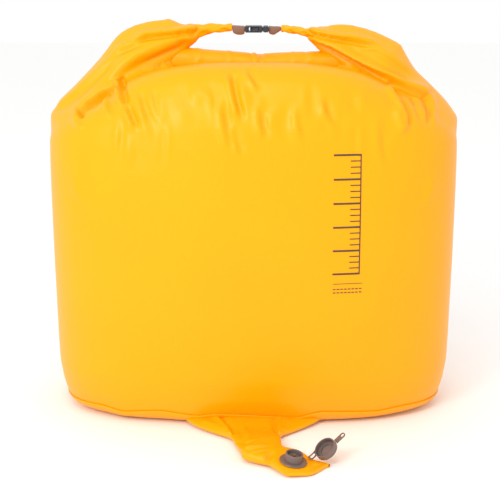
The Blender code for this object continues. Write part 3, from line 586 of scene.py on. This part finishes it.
# %% Tucks below the ridge
# A tuck with a negative depth has its steep side turned right.
TUCKS = [
    ([(-0.19, 0.493), (-0.182, 0.474), (-0.176, 0.456)], -0.0085, 0.0085, "tuck", (0.05, 0.3)),
    ([(-0.176, 0.462), (-0.168, 0.446), (-0.158, 0.426)], -0.005, 0.008, "tuck", (0.2, 0.4)),
    ([(-0.204, 0.474), (-0.201, 0.458), (-0.194, 0.442)], -0.0034, 0.007, "tuck", (0.2, 0.4)),
    ([(-0.158, 0.482), (-0.152, 0.458), (-0.142, 0.434)], -0.0034, 0.009, "tuck", (0.3, 0.4)),
    ([(-0.14, 0.484), (-0.135, 0.462), (-0.128, 0.44)], -0.0024, 0.008, "tuck", (0.3, 0.4)),
    ([(-0.034, 0.506), (-0.026, 0.474), (-0.017, 0.44)], -0.006, 0.009, "tuck", (0.2, 0.3)),
    ([(-0.046, 0.47), (-0.039, 0.434), (-0.03, 0.4)], -0.004, 0.01, "tuck", (0.3, 0.3)),
    ([(-0.03, 0.44), (-0.024, 0.415), (-0.016, 0.392)], -0.003, 0.008, "tuck", (0.3, 0.4)),
    ([(-0.012, 0.509), (0.0, 0.492), (0.009, 0.478)], -0.004, 0.0065, "tuck", (0.2, 0.4)),
    ([(0.006, 0.466), (0.009, 0.44), (0.016, 0.416)], -0.0036, 0.009, "tuck", (0.3, 0.3)),
    ([(0.056, 0.462), (0.06, 0.438), (0.068, 0.414)], -0.0022, 0.009, "tuck", (0.3, 0.4)),
    ([(0.092, 0.476), (0.099, 0.452), (0.112, 0.43)], -0.0034, 0.0085, "tuck", (0.3, 0.4)),
]
PUCKERS_REACH = 0.185  # on either side of the middle
RIDGE_HEIGHT = 0.507  # in the middle; the arch lowers it outwards


def puckers(count, seed):
    """Short folds hanging below the ridge, each a little aslant."""
    draw = np.random.default_rng(seed)
    for k in range(count):
        x = -PUCKERS_REACH + 2 * PUCKERS_REACH * (k + draw.uniform(0.1, 0.9)) / count
        ridge = RIDGE_HEIGHT - ARCH_DROP * (abs(x) / ARCH_REACH) ** ARCH_POWER
        top = ridge - draw.uniform(0.004, 0.055)
        length = draw.uniform(0.035, 0.090)
        lean = draw.uniform(-0.004, 0.024)
        depth = draw.choice([-1, -1, 1]) * draw.uniform(0.0010, 0.0026) * (1.0 - 1.2 * abs(x))
        path = [(x, top), (x + 0.4 * lean, top - length / 2), (x + lean, top - length)]
        yield path, depth, draw.uniform(0.0080, 0.0170), "tuck", (0.5, 0.5)


front_puckers, back_puckers = list(puckers(24, 11)), list(puckers(18, 23))
print(len(TUCKS), "tucks,", len(front_puckers), "puckers in front and", len(back_puckers), "behind")

# %% The wavy base seam
# The seam rises and falls a little along the front (x, rise).
SEAM_WAVE = np.array([
    (-0.260, 0.0), (-0.219, 0.0018), (-0.190, -0.0036), (-0.160, 0.0006), (-0.130, 0.0030),
    (-0.083, -0.0030), (-0.055, 0.0006), (-0.010, -0.0006), (0.040, -0.0034), (0.062, -0.0062),
    (0.078, -0.0010), (0.097, 0.0032), (0.142, 0.0008), (0.180, -0.0016), (0.215, 0.0012), (0.260, 0.0)])
WAVE_LOW, WAVE_GROWS = 0.0015, 0.014  # the height where the wave starts, and the rise to its full size
WAVE_HIGH, WAVE_FADES = 0.075, 0.056  # the height where it ends, and the rise over which it fades
WAVE_FORWARD = 0.08  # it is whole where the cloth is this far forward


def seam_wave(rows):
    """Moves the cloth near the base seam up and down, on the front only."""
    height = rows[:, 2]
    near = (np.clip((height - WAVE_LOW) / WAVE_GROWS, 0, 1)
            * np.clip((WAVE_HIGH - height) / WAVE_FADES, 0, 1))
    front = np.clip(-rows[:, 1] / WAVE_FORWARD, 0, 1)
    moved = rows.copy()
    moved[:, 2] += np.interp(rows[:, 0], *SEAM_WAVE.T) * near * front
    return moved


print("the seam rises by up to", SEAM_WAVE[:, 1].max() * 1000, "mm")

# %% Push the body's cloth
BACK_SHARE = 0.6  # the back's folds are the front's turned round, and shallower
FRONT_ENDS, CHANGE_OVER = 0.25, 0.3  # normal y where the front's folds end, and the change that fades them
SIDE_SEAM = ([(0.0, 0.030), (0.0, 0.200), (0.0, 0.415)], 0.0016, 0.0036, "lip", (0.05, 0.1))
back_folds = [([(-x, z) for x, z in reversed(path)], BACK_SHARE * depth, width, kind, fade[::-1])
              for path, depth, width, kind, fade in LEFT_FOLDS + RIGHT_FOLDS + TUCKS[::2]]
rows, out = places(body_cloth), normals(body_cloth)
front_push = sum(fold(rows, *line) for line in LEFT_FOLDS + RIGHT_FOLDS + TUCKS + front_puckers)
back_push = sum(fold(rows, *line) for line in back_folds + back_puckers)
turned = (out[:, 1] - FRONT_ENDS) / CHANGE_OVER
push = front_push * np.clip(-turned, 0, 1) + back_push * np.clip(turned, 0, 1)
push += fold(rows, *SIDE_SEAM, SIDE_VIEW) * (np.abs(rows[:, 0]) > SIDES_FROM)
move_to(body_cloth, seam_wave(rows + out * push[:, None]))
print("deepest and highest fold, mm", np.round([push.min() * 1000, push.max() * 1000], 1))

# %% Finish the body
# Pumped empty, the cloth gives way evenly between the base and the ridge.
finish(body_cloth, None, nylon, "front_panel", "back_panel", "left_side_seam_tape",
       "right_side_seam_tape", "left_roll_end", "right_roll_end")
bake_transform(body_cloth)

# %% [markdown]
# ## The fill scale
# A scale in dark brown ink is printed on the right of the front: five long marks with short ones
# between them, and a rule with small dashes under it. Each mark is a narrow grid, laid on the cloth
# along the depth axis, so that it follows the puckers and moves with the cloth.

# %% Ink
# Solvent ink squeezed through a screen: matt on the glossy coating, and a little uneven in its brown.
ink, ink_tree, ink_shader = new_material("screen_printed_ink", Roughness=0.55, IOR=1.5)
ink_where = node(ink_tree, "ShaderNodeTexCoord").outputs
ink_patch = node(ink_tree, "ShaderNodeTexNoise", {"Vector": ink_where["Object"], "Scale": 400.0})
ink_mix = node(ink_tree, "ShaderNodeMix", {0: ink_patch.outputs["Fac"], 6: hex_colour("#46331F"),
                                           7: hex_colour("#5A4228")}, data_type="RGBA")
ink_tree.links.new(ink_mix.outputs[2], ink_shader.inputs["Base Color"])
print(ink.name, "in two browns")

# %% Marks of the scale
SCALE_LEFT, SCALE_RIGHT = 0.1085, 0.1465
SCALE_LOW, SCALE_HIGH = 0.2330, 0.3970
SPINE_WIDTH = 0.0016
INTERVALS, LONG_EVERY = 20, 4
LONG_HALF_HEIGHT, SHORT_HALF_HEIGHT, SHORT_LENGTH = 0.0013, 0.0007, 0.0150
RULE_LEFT, RULE_RIGHT, RULE_LOW, RULE_HIGH = 0.1095, 0.1505, 0.2185, 0.2193
DASHES, DASH_PITCH, DASH_LENGTH = 8, 0.0052, 0.0036
DASH_LOW, DASH_HIGH, DASH_ROWS, ROW_PITCH = 0.2105, 0.2120, 2, 0.0050
marks = [(SCALE_RIGHT - SPINE_WIDTH, SCALE_RIGHT, SCALE_LOW, SCALE_HIGH)]
for step in range(INTERVALS + 1):
    height = SCALE_LOW + (SCALE_HIGH - SCALE_LOW) * step / INTERVALS
    thick, reach = SHORT_HALF_HEIGHT, SCALE_RIGHT - SHORT_LENGTH
    if step % LONG_EVERY == 0:
        thick, reach = LONG_HALF_HEIGHT, SCALE_LEFT
    marks.append((reach, SCALE_RIGHT, height - thick, height + thick))
marks.append((RULE_LEFT, RULE_RIGHT, RULE_LOW, RULE_HIGH))
for row in range(DASH_ROWS):
    for dash in range(DASHES):
        start = RULE_LEFT + DASH_PITCH * dash
        marks.append((start, start + DASH_LENGTH, DASH_LOW - ROW_PITCH * row, DASH_HIGH - ROW_PITCH * row))
print(len(marks), "marks")

# %% Print the marks on the cloth
INK_CELL = 0.002  # side of a grid cell, small enough to follow the puckers
INK_START = -0.30  # in front of the cloth, from where the marks are pressed back onto it
nothing_selected()
prints = []
for left, right, low, high in marks:
    bpy.ops.mesh.primitive_grid_add(
        x_subdivisions=max(1, round((right - left) / INK_CELL)),
        y_subdivisions=max(1, round((high - low) / INK_CELL)), size=1,
        location=((left + right) / 2, INK_START, (low + high) / 2), rotation=(math.pi / 2, 0, 0))
    bpy.context.object.scale = (right - left, high - low, 1)
    prints.append(bpy.context.object)
for mark in prints:
    mark.select_set(True)
bpy.ops.object.join()
print_layer = bpy.context.object
print_layer.name = print_layer.data.name = "printed_fill_scale"
bpy.ops.object.transform_apply(location=True, rotation=True, scale=True)
modify(print_layer, "SHRINKWRAP", target=body_cloth, wrap_method="PROJECT", use_project_y=True,
       use_positive_direction=True, use_negative_direction=True, offset=0.0005)
finish(print_layer, None, ink)
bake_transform(print_layer)

# %% [markdown]
# ## The base
# The base is an oval of the same cloth whose rim turns up to the body seam. It is extruded ring by ring
# from the floor, ends in a narrow welt where the two layers are sewn, and wrinkles a little there.

# %% Base panel and its seam
# Height, half width, half depth.
BASE = [
    (0.0004, 0.1500, 0.0600), (0.0004, 0.2380, 0.0960), (0.0010, 0.2520, 0.1070), (0.0045, 0.2660, 0.1180),
    (0.0100, 0.2765, 0.1264), (0.0150, 0.2812, 0.1300), (0.0178, 0.2826, 0.1311), (0.0190, 0.2829, 0.1314),
    (0.0196, 0.2824, 0.1310), (0.0195, 0.2812, 0.1300), (0.0185, 0.2790, 0.1280),
]
BASE_RING = 2 * RING  # corners round the base, enough for its seam's waves
base_cloth = extruded_skin("base_cloth", [
    np.stack([*superellipse(half_width, half_depth, BASE_RING), np.full(BASE_RING, height)], 1)
    for height, half_width, half_depth in BASE], caps=(True, False))
move_to(base_cloth, seam_wave(places(base_cloth)))
finish(base_cloth, "bag", nylon, "base_panel", "base_seam_tape")

# %% [markdown]
# ## The rolled mouth
# The mouth is rolled down round a stiffening strip. Seen from the front only a low band of it shows
# between the two wings, with the turned-under edge as a line along it. One thick bar with that edge
# raised on its ring is enough, since the turns inside are never seen.

# %% Rings of the roll
# Along X, height of the top.
ROLL_TOPS = [(-0.150, 0.533), (-0.094, 0.530), (-0.067, 0.5275), (-0.032, 0.5250), (0.0, 0.5222),
             (0.009, 0.5200), (0.022, 0.5222), (0.060, 0.5240), (0.107, 0.5255), (0.150, 0.5285)]
ROLL_LOW = 0.4960
ROLL_HALF_DEPTH = 0.0180
ROLL_RING = 40  # corners round the roll
LAP_AT, LAP_SPREAD, LAP_RISE = 3.7, 0.35, 0.10  # radians round the ring, and a share of its radius


def roll_ring(x, top):
    """One ring of the roll, with the turned-under edge raised low on its front."""
    turn = np.linspace(0, 2 * np.pi, ROLL_RING, endpoint=False)
    high = (top - ROLL_LOW) / 2
    lap = 1 + LAP_RISE * np.exp(-((turn - LAP_AT) / LAP_SPREAD) ** 2)
    return np.stack([np.full(ROLL_RING, x), ROLL_HALF_DEPTH * np.cos(turn) * lap,
                     ROLL_LOW + high + high * np.sin(turn) * lap], 1)


roll_cloth = extruded_skin("rolled_mouth", [roll_ring(x, top) for x, top in smoothed(ROLL_TOPS, 6)])
modify(roll_cloth, "SUBSURF", levels=1, render_levels=1)
measure(roll_cloth)

# %% Folds of the roll
ROLL_FOLDS = [
    ([(-0.003, 0.527), (0.0, 0.517), (0.006, 0.506)], 0.0018, 0.0042, "tuck", (0.3, 0.4)),
    ([(0.016, 0.523), (0.012, 0.514), (0.011, 0.505)], 0.0014, 0.004, "tuck", (0.1, 0.4)),
    ([(-0.04, 0.527), (-0.036, 0.517), (-0.034, 0.507)], 0.0012, 0.006, "tuck", (0.2, 0.3)),
    ([(0.052, 0.525), (0.056, 0.516), (0.055, 0.507)], 0.0014, 0.005, "tuck", (0.2, 0.3)),
    ([(0.08, 0.526), (0.077, 0.517), (0.078, 0.508)], 0.0014, 0.006, "tuck", (0.2, 0.3)),
    ([(-0.085, 0.53), (-0.08, 0.52), (-0.08, 0.51)], 0.0014, 0.007, "tuck", (0.2, 0.3)),
]
roll_rows, roll_out = places(roll_cloth), normals(roll_cloth)
roll_push = sum(fold(roll_rows, *line) for line in ROLL_FOLDS)
move_to(roll_cloth, roll_rows + roll_out * roll_push[:, None])
finish(roll_cloth, "top", nylon, "mouth_roll", "hem_stiffener")

# %% [markdown]
# ## The twisted handle arms
# Between a wing and the buckle the roll's end is twisted hard, like a sweet wrapper. Each arm is a
# three-lobed ring extruded along the arm and turned a little at each step, and it thickens at the root.

# %% Rings of an arm
ARM_RING = 36  # corners round an arm
LOBES, LOBE_RISE = 3, 0.16  # the main turns of cloth, as a share of the radius
CREASES, CREASE_RISE, CREASE_LAG = 5, 0.05, 0.7  # finer creases, which twist the other way


def arm_rings(centres, radii, turns):
    """The lobed rings of one arm, turned a little further at each step."""
    turn = np.linspace(0, 2 * np.pi, ARM_RING, endpoint=False)
    for k, ((x, z), (wide, high)) in enumerate(zip(centres, radii)):
        twist = turns * 2 * np.pi * k / (len(centres) - 1)
        lobed = (1 + LOBE_RISE * np.cos(LOBES * (turn - twist))
                 + CREASE_RISE * np.cos(CREASES * (turn + CREASE_LAG * twist)))
        yield np.stack([np.full(ARM_RING, x), wide * np.cos(turn) * lobed,
                        z + high * np.sin(turn) * lobed], 1)


def arm(name, body, node_name, stations, turns):
    """A twisted arm through the stations, which makes this many turns along its length."""
    rows = smoothed(stations, 8)
    piece = extruded_skin(name, list(arm_rings(rows[:, :2], rows[:, 2:], turns)))
    modify(piece, "SUBSURF", levels=1, render_levels=1)
    finish(piece, body, nylon, node_name)
    return piece


print(LOBES, "lobes and", CREASES, "creases round an arm")

# %% The two arms
# Along X, height, half width, half height.
arm("left_twisted_arm", "handle", "left_handle_twist",
    [(-0.12, 0.55, 0.005, 0.005), (-0.102, 0.5505, 0.0084, 0.0098),
     (-0.085, 0.553, 0.0078, 0.0096),
     (-0.07, 0.5555, 0.0066, 0.0078), (-0.055, 0.557, 0.0058, 0.0062),
     (-0.042, 0.558, 0.0052, 0.0052), (-0.03, 0.5584, 0.005, 0.005)], 0.9)
right_arm = arm("right_twisted_arm", "handle", "right_handle_twist",
                [(0.116, 0.544, 0.005, 0.005), (0.101, 0.546, 0.0084, 0.0086),
                 (0.088, 0.549, 0.0076, 0.0072),
                 (0.074, 0.552, 0.0064, 0.0056), (0.06, 0.5545, 0.0058, 0.0052),
                 (0.049, 0.5562, 0.0054, 0.005), (0.0393, 0.5568, 0.0048, 0.0044)], -1.2)
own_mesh(right_arm)

# %% [markdown]
# ## The pump snout
# A flat sleeve of the same cloth leaves the front of the base, lies on the floor and turns right. It is
# two pieces: a funnel with the sleeve, and the end pouch.

# %% Rings of a flat tube
FLAT_RING = 72  # corners round the tube
FLAT_SQUARENESS = 2.7


def flat_ring(left, right, low, high_left, high_right):
    """A flattened tube section: left and right edge in the plan, its underside and its top."""
    x, y = superellipse(1.0, 1.0, FLAT_RING, FLAT_SQUARENESS)
    share = (x + 1) / 2
    left, right = np.asarray(left), np.asarray(right)
    flat = left + share[:, None] * (right - left)
    top = high_left + share * (high_right - high_left)
    middle, half = (low + top) / 2, (top - low) / 2
    return np.column_stack([flat, middle + half * y])


print(FLAT_RING, "corners round the snout")

# %% The sleeve
# Left edge, right edge, underside, top.
SLEEVE = [
    ((-0.1010, -0.112), (0.1010, -0.110), 0.0020, 0.0165),
    ((-0.0960, -0.124), (0.0960, -0.120), 0.0008, 0.0165),
    ((-0.0800, -0.143), (0.0800, -0.137), 0.0005, 0.0135),
    ((-0.0570, -0.162), (0.0610, -0.154), 0.0005, 0.0115),
    ((-0.0400, -0.175), (0.0450, -0.168), 0.0005, 0.0120),
    ((-0.0315, -0.185), (0.0374, -0.179), 0.0005, 0.0135),
    ((-0.0275, -0.199), (0.0370, -0.184), 0.0005, 0.0145),
    ((-0.0225, -0.217), (0.0368, -0.188), 0.0005, 0.0155),
    ((-0.0185, -0.234), (0.0370, -0.193), 0.0005, 0.0170),
    ((-0.0152, -0.2475), (0.0374, -0.1985), 0.0005, 0.0185),
]
sleeve_rows = smoothed([(*a, *b, low, top) for a, b, low, top in SLEEVE], 5)
sleeve_cloth = extruded_skin("snout_sleeve_cloth", [
    flat_ring(row[:2], row[2:4], row[4], row[5], row[5]) for row in sleeve_rows], caps=(False, False))
modify(sleeve_cloth, "SUBSURF", levels=1, render_levels=1)
measure(sleeve_cloth)

# %% Folds of the sleeve
# Path (x, y) on the upper side, depth, half width, kind, fades.
SLEEVE_FOLDS = [
    ([(-0.031, -0.184), (-0.036, -0.16), (-0.05, -0.132), (-0.06, -0.118)],
     0.0042, 0.0075, "lip", (0.1, 0.3)),
    ([(0.034, -0.112), (0.0335, -0.135), (0.034, -0.16), (0.0365, -0.182)],
     0.0042, 0.0065, "lip", (0.2, 0.1)),
    ([(-0.08, -0.13), (-0.055, -0.15), (-0.038, -0.172)], 0.0022, 0.006, "ridge", (0.3, 0.2)),
    ([(-0.02, -0.15), (-0.012, -0.185), (-0.01, -0.225)], 0.0016, 0.008, "tuck", (0.3, 0.3)),
    ([(0.05, -0.125), (0.047, -0.145), (0.04, -0.172)], 0.0018, 0.006, "ridge", (0.3, 0.2)),
    ([(-0.02, -0.222), (0.004, -0.216), (0.03, -0.205)], 0.002, 0.007, "tuck", (0.2, 0.3)),
    ([(-0.015, -0.246), (-0.002, -0.229), (0.012, -0.214), (0.03, -0.204)],
     0.003, 0.005, "lip", (0.1, 0.4)),
    ([(-0.024, -0.206), (-0.014, -0.216), (0.0, -0.222)], 0.002, 0.0048, "valley", (0.1, 0.5)),
]


def push_upper_side(piece, folds):
    """Folds drawn in the plan, on the side that faces up."""
    rows, out = places(piece), normals(piece)
    push = sum(fold(rows, *line, PLAN_VIEW) for line in folds)
    rows[:, 2] += push * np.clip(out[:, 2] * 2, 0, 1)
    move_to(piece, rows)


push_upper_side(sleeve_cloth, SLEEVE_FOLDS)
finish(sleeve_cloth, None, nylon, "snout_funnel", "snout_sleeve")
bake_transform(sleeve_cloth)

# %% The pouch
ELBOW = np.array([0.0125, -0.2225])  # middle of the crease where the pouch begins, in the plan
TOP_AT_ELBOW = 0.0213
SLOPE = 0.165  # fall of the pouch's top towards its tip
FALL_ALONG = np.array([0.8645, -0.5027])


def pouch_top(spot):
    """Height of the pouch's top over a spot of the plan."""
    return TOP_AT_ELBOW - SLOPE * float((np.asarray(spot) - ELBOW) @ FALL_ALONG)


# Left edge, right edge.
POUCH = [
    ((-0.0152, -0.2460), (0.0368, -0.1945)), ((-0.0158, -0.2535), (0.0382, -0.2080)),
    ((-0.0050, -0.2610), (0.0388, -0.2205)), ((0.0080, -0.2672), (0.0440, -0.2270)),
    ((0.0190, -0.2722), (0.0587, -0.2304)), ((0.0300, -0.2865), (0.0679, -0.2380)),
    ((0.0425, -0.3005), (0.0740, -0.2480)), ((0.0590, -0.2990), (0.0810, -0.2550)),
    ((0.0745, -0.2955), (0.0890, -0.2585)), ((0.0870, -0.2820), (0.0970, -0.2610)),
    ((0.0950, -0.2710), (0.1005, -0.2640)), ((0.0990, -0.2680), (0.1010, -0.2660)),
]
pouch_rows = smoothed([(*a, *b) for a, b in POUCH], 4)
pouch_cloth = extruded_skin("nozzle_pouch_cloth", [
    flat_ring(row[:2], row[2:4], 0.0005, pouch_top(row[:2]), pouch_top(row[2:4]))
    for row in pouch_rows], caps=(False, True))
modify(pouch_cloth, "SUBSURF", levels=1, render_levels=1)
measure(pouch_cloth)

# %% Folds of the pouch
CREASE_HALF = 0.007  # the elbow's crease reaches this far on either side of its middle
POUCH_FOLDS = [
    ([(0.0165, -0.275), (0.0205, -0.262), (0.029, -0.249)], 0.0045, 0.0042, "valley", (0.03, 0.5)),
    ([(0.07, -0.292), (0.078, -0.276), (0.09, -0.266)], 0.0014, 0.0045, "tuck", (0.2, 0.3)),
    ([(0.05, -0.238), (0.058, -0.246), (0.062, -0.254)], 0.0012, 0.0036, "valley", (0.2, 0.3)),
    ([(-0.012, -0.25), (0.006, -0.246), (0.026, -0.236)], 0.0026, 0.0065, "tuck", (0.1, 0.4)),
    ([(-0.004, -0.258), (0.012, -0.252), (0.028, -0.244)], 0.0018, 0.0055, "tuck", (0.2, 0.4)),
    ([(0.034, -0.288), (0.04, -0.296), (0.044, -0.301)], 0.0015, 0.005, "valley", (0.3, 0.1)),
]
push_upper_side(pouch_cloth, POUCH_FOLDS)
finish(pouch_cloth, None, nylon, "nozzle_pouch")
turn_line = np.array([0.7071, -0.7071])
start, end = ELBOW - CREASE_HALF * turn_line, ELBOW + CREASE_HALF * turn_line
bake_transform(pouch_cloth)

# %% [markdown]
# ## Hard pieces
# The buckle is moulded acetal, dark and half glossy. The valve is moulded polyurethane, a warm grey, and
# its flap and gasket are silicone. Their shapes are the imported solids, so they only need a finish: an
# even colour with a little fleck, and the fine grain that a spark-eroded mould leaves.

# %% Moulded finishes
GRAINS_PER_METRE = 1800.0  # about 0.6 mm, coarser than the real grain, so that it shows at all


def moulded(name, base, fleck, roughness, coarse):
    """Moulded plastic: a barely uneven colour, and the fine grain of a spark-eroded mould."""
    made, tree, shader = new_material(name, Roughness=roughness, IOR=1.49)
    where = node(tree, "ShaderNodeTexCoord").outputs
    speck = node(tree, "ShaderNodeTexNoise", {"Vector": where["Object"], "Scale": coarse, "Detail": 4.0})
    colour = node(tree, "ShaderNodeMix", {0: speck.outputs["Fac"], 6: hex_colour(base), 7: hex_colour(fleck)},
                  data_type="RGBA")
    tree.links.new(colour.outputs[2], shader.inputs["Base Color"])
    grain = node(tree, "ShaderNodeTexNoise", {"Vector": where["Object"], "Scale": GRAINS_PER_METRE,
                                              "Detail": 2.0})
    bump = node(tree, "ShaderNodeBump", {"Height": grain.outputs["Fac"], "Strength": 0.2, "Distance": 0.0002})
    tree.links.new(bump.outputs["Normal"], shader.inputs["Normal"])
    return made


acetal = moulded("moulded_acetal", "#2A2A30", "#3A3A42", 0.28, 300.0)
urethane = moulded("moulded_polyurethane", "#6C5C58", "#7C6A64", 0.42, 160.0)
silicone = moulded("soft_silicone", "#5E504C", "#6E6058", 0.38, 200.0)
print([made.name for made in (acetal, urethane, silicone)])

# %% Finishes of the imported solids
FINISHES = {
    acetal: ("buckle_socket", "buckle_plug", "buckle_prong_front", "buckle_prong_back"),
    urethane: ("valve_flange", "valve_collar", "valve_grille", "valve_cap", "cap_pull_tab"),
    silicone: ("valve_flap", "flap_stud", "cap_gasket"),
}
for made, names in FINISHES.items():
    for name in names:
        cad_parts[name].data.materials.clear()
        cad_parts[name].data.materials.append(made)
    print(made.name, "on", len(names), "nodes")

# %% [markdown]
# ## Webbing loops
# Each half of the buckle hangs on a folded loop of brown webbing. Seen from the front a loop is a
# small pad, widest where it wraps the bar. Its weave is a fine check of bumps, with painted shade
# in its hollows.

# %% Webbing
# Woven polyester tape: matt and slightly hairy. Its colour follows the weave: light on the threads,
# with painted shade in the hollows between them.
THREAD_PITCH = 0.0009
webbing, web_tree, web_shader = new_material("woven_webbing", Roughness=0.78, IOR=1.5, Sheen_Weight=0.2)
web_where = node(web_tree, "ShaderNodeTexCoord").outputs
web_check = crossed_threads(web_tree, web_where["UV"], THREAD_PITCH, "MULTIPLY")
# The darker brown goes where the weave is low: painted shade in its hollows.
web_colour_and_hollow_shade = node(web_tree, "ShaderNodeMix", {0: web_check.outputs[0], 6: hex_colour("#84604C"),
                                              7: hex_colour("#BC947A")}, data_type="RGBA")
web_tree.links.new(web_colour_and_hollow_shade.outputs[2], web_shader.inputs["Base Color"])
web_bump = node(web_tree, "ShaderNodeBump", {"Height": web_check.outputs[0], "Strength": 0.6,
                                             "Distance": 0.0003})
web_tree.links.new(web_bump.outputs["Normal"], web_shader.inputs["Normal"])
print(webbing.name, "with threads", THREAD_PITCH * 1000, "mm apart")

# %% Webbing loops
LOOP_RING, LOOP_SQUARENESS = 32, 3.0
CREASE_ANGLE = 50  # degrees from which an edge is shaded sharp


def loop_piece(name, body, node_name, stations):
    """A folded loop: rounded rings along X, each with its height, half height and half depth."""
    rings = []
    for x, z, half_height, half_depth in smoothed(stations, 4):
        deep, high = superellipse(half_depth, half_height, LOOP_RING, LOOP_SQUARENESS)
        rings.append(np.stack([np.full(LOOP_RING, x), deep, z + high], 1))
    piece = extruded_skin(name, rings)
    finish(piece, body, webbing, node_name, slot="webbing", angle=CREASE_ANGLE)


loop_piece("left_webbing_loop", "handle", "left_buckle_loop", [
    (-0.03, 0.5575, 0.0042, 0.006), (-0.0285, 0.5562, 0.0054, 0.0076), (-0.024, 0.555, 0.0064, 0.0084),
    (-0.0175, 0.5546, 0.0064, 0.0085), (-0.014, 0.555, 0.0058, 0.0085), (-0.0128, 0.5558, 0.005, 0.0084),
    (-0.0124, 0.5562, 0.0026, 0.007), (-0.0066, 0.5562, 0.0024, 0.006)])
loop_piece("right_webbing_loop", "plug", "right_buckle_loop", [
    (0.022, 0.556, 0.0046, 0.0084), (0.0234, 0.555, 0.0056, 0.0085), (0.029, 0.5542, 0.006, 0.0084),
    (0.034, 0.5556, 0.0046, 0.0076), (0.038, 0.5566, 0.0032, 0.006), (0.0392, 0.5568, 0.0026, 0.005)])

# %% [markdown]
# ## The cap's strap
# A soft flat strap with a long slot ties the cap to the valve. Open, it rises from the flange and
# twists, so that its flat side turns to the front. It is cut flat from a grid first, with its slot, and
# gets its thickness there; only then is it bent to its path.

# %% Flat strap with its slot
STRAP_LENGTH, STRAP_WIDTH, STRAP_THICKNESS = 0.0150, 0.0068, 0.0013
SLOT_FROM, SLOT_TO, SLOT_HALF = -0.28, 0.33, 0.20  # shares of the length and of the width
EDGE_ROUNDING = 0.0003
nothing_selected()
bpy.ops.mesh.primitive_grid_add(x_subdivisions=20, y_subdivisions=7, size=1)
strap = bpy.context.object
strap.name = strap.data.name = "slotted_cap_strap"
select_faces(strap, lambda middle, normal: abs(middle.y) < SLOT_HALF and SLOT_FROM < middle.x < SLOT_TO)
bpy.ops.mesh.delete(type="FACE")
bpy.ops.object.mode_set(mode="OBJECT")
move_to(strap, places(strap) * [STRAP_LENGTH, STRAP_WIDTH, 1])
modify(strap, "SOLIDIFY", thickness=STRAP_THICKNESS, offset=0.0)
modify(strap, "BEVEL", width=EDGE_ROUNDING, segments=2, limit_method="ANGLE")
measure(strap)

# %% Bend the strap to its path
STRAP_PATH = smoothed([(0.0735, -0.2632, 0.0120), (0.0765, -0.2612, 0.0124),
                       (0.0800, -0.2570, 0.0136), (0.0830, -0.2520, 0.0148)], 6)
FLAT_ACROSS, TURNED_ACROSS = np.array([-0.40, 0.90, 0.13]), np.array([-0.50, 0.21, 0.82])
TWIST_PACE = 1.5  # the twist is over after two thirds of the length
flat = places(strap)
share = np.clip(flat[:, 0] / STRAP_LENGTH + 0.5, 0, 1)
stops = np.linspace(0, 1, len(STRAP_PATH))
centre = np.stack([np.interp(share, stops, STRAP_PATH[:, k]) for k in range(3)], 1)
ahead = np.stack([np.interp(share, stops, np.gradient(STRAP_PATH[:, k])) for k in range(3)], 1)
ahead /= np.linalg.norm(ahead, axis=1)[:, None]
across = FLAT_ACROSS + np.clip(share * TWIST_PACE, 0, 1)[:, None] * (TURNED_ACROSS - FLAT_ACROSS)
across -= (across * ahead).sum(1)[:, None] * ahead
across /= np.linalg.norm(across, axis=1)[:, None]
move_to(strap, centre + across * flat[:, 1:2] + np.cross(ahead, across) * flat[:, 2:3])
finish(strap, "cap", urethane, "cap_strap", slot="valve_polyurethane", angle=CREASE_ANGLE)
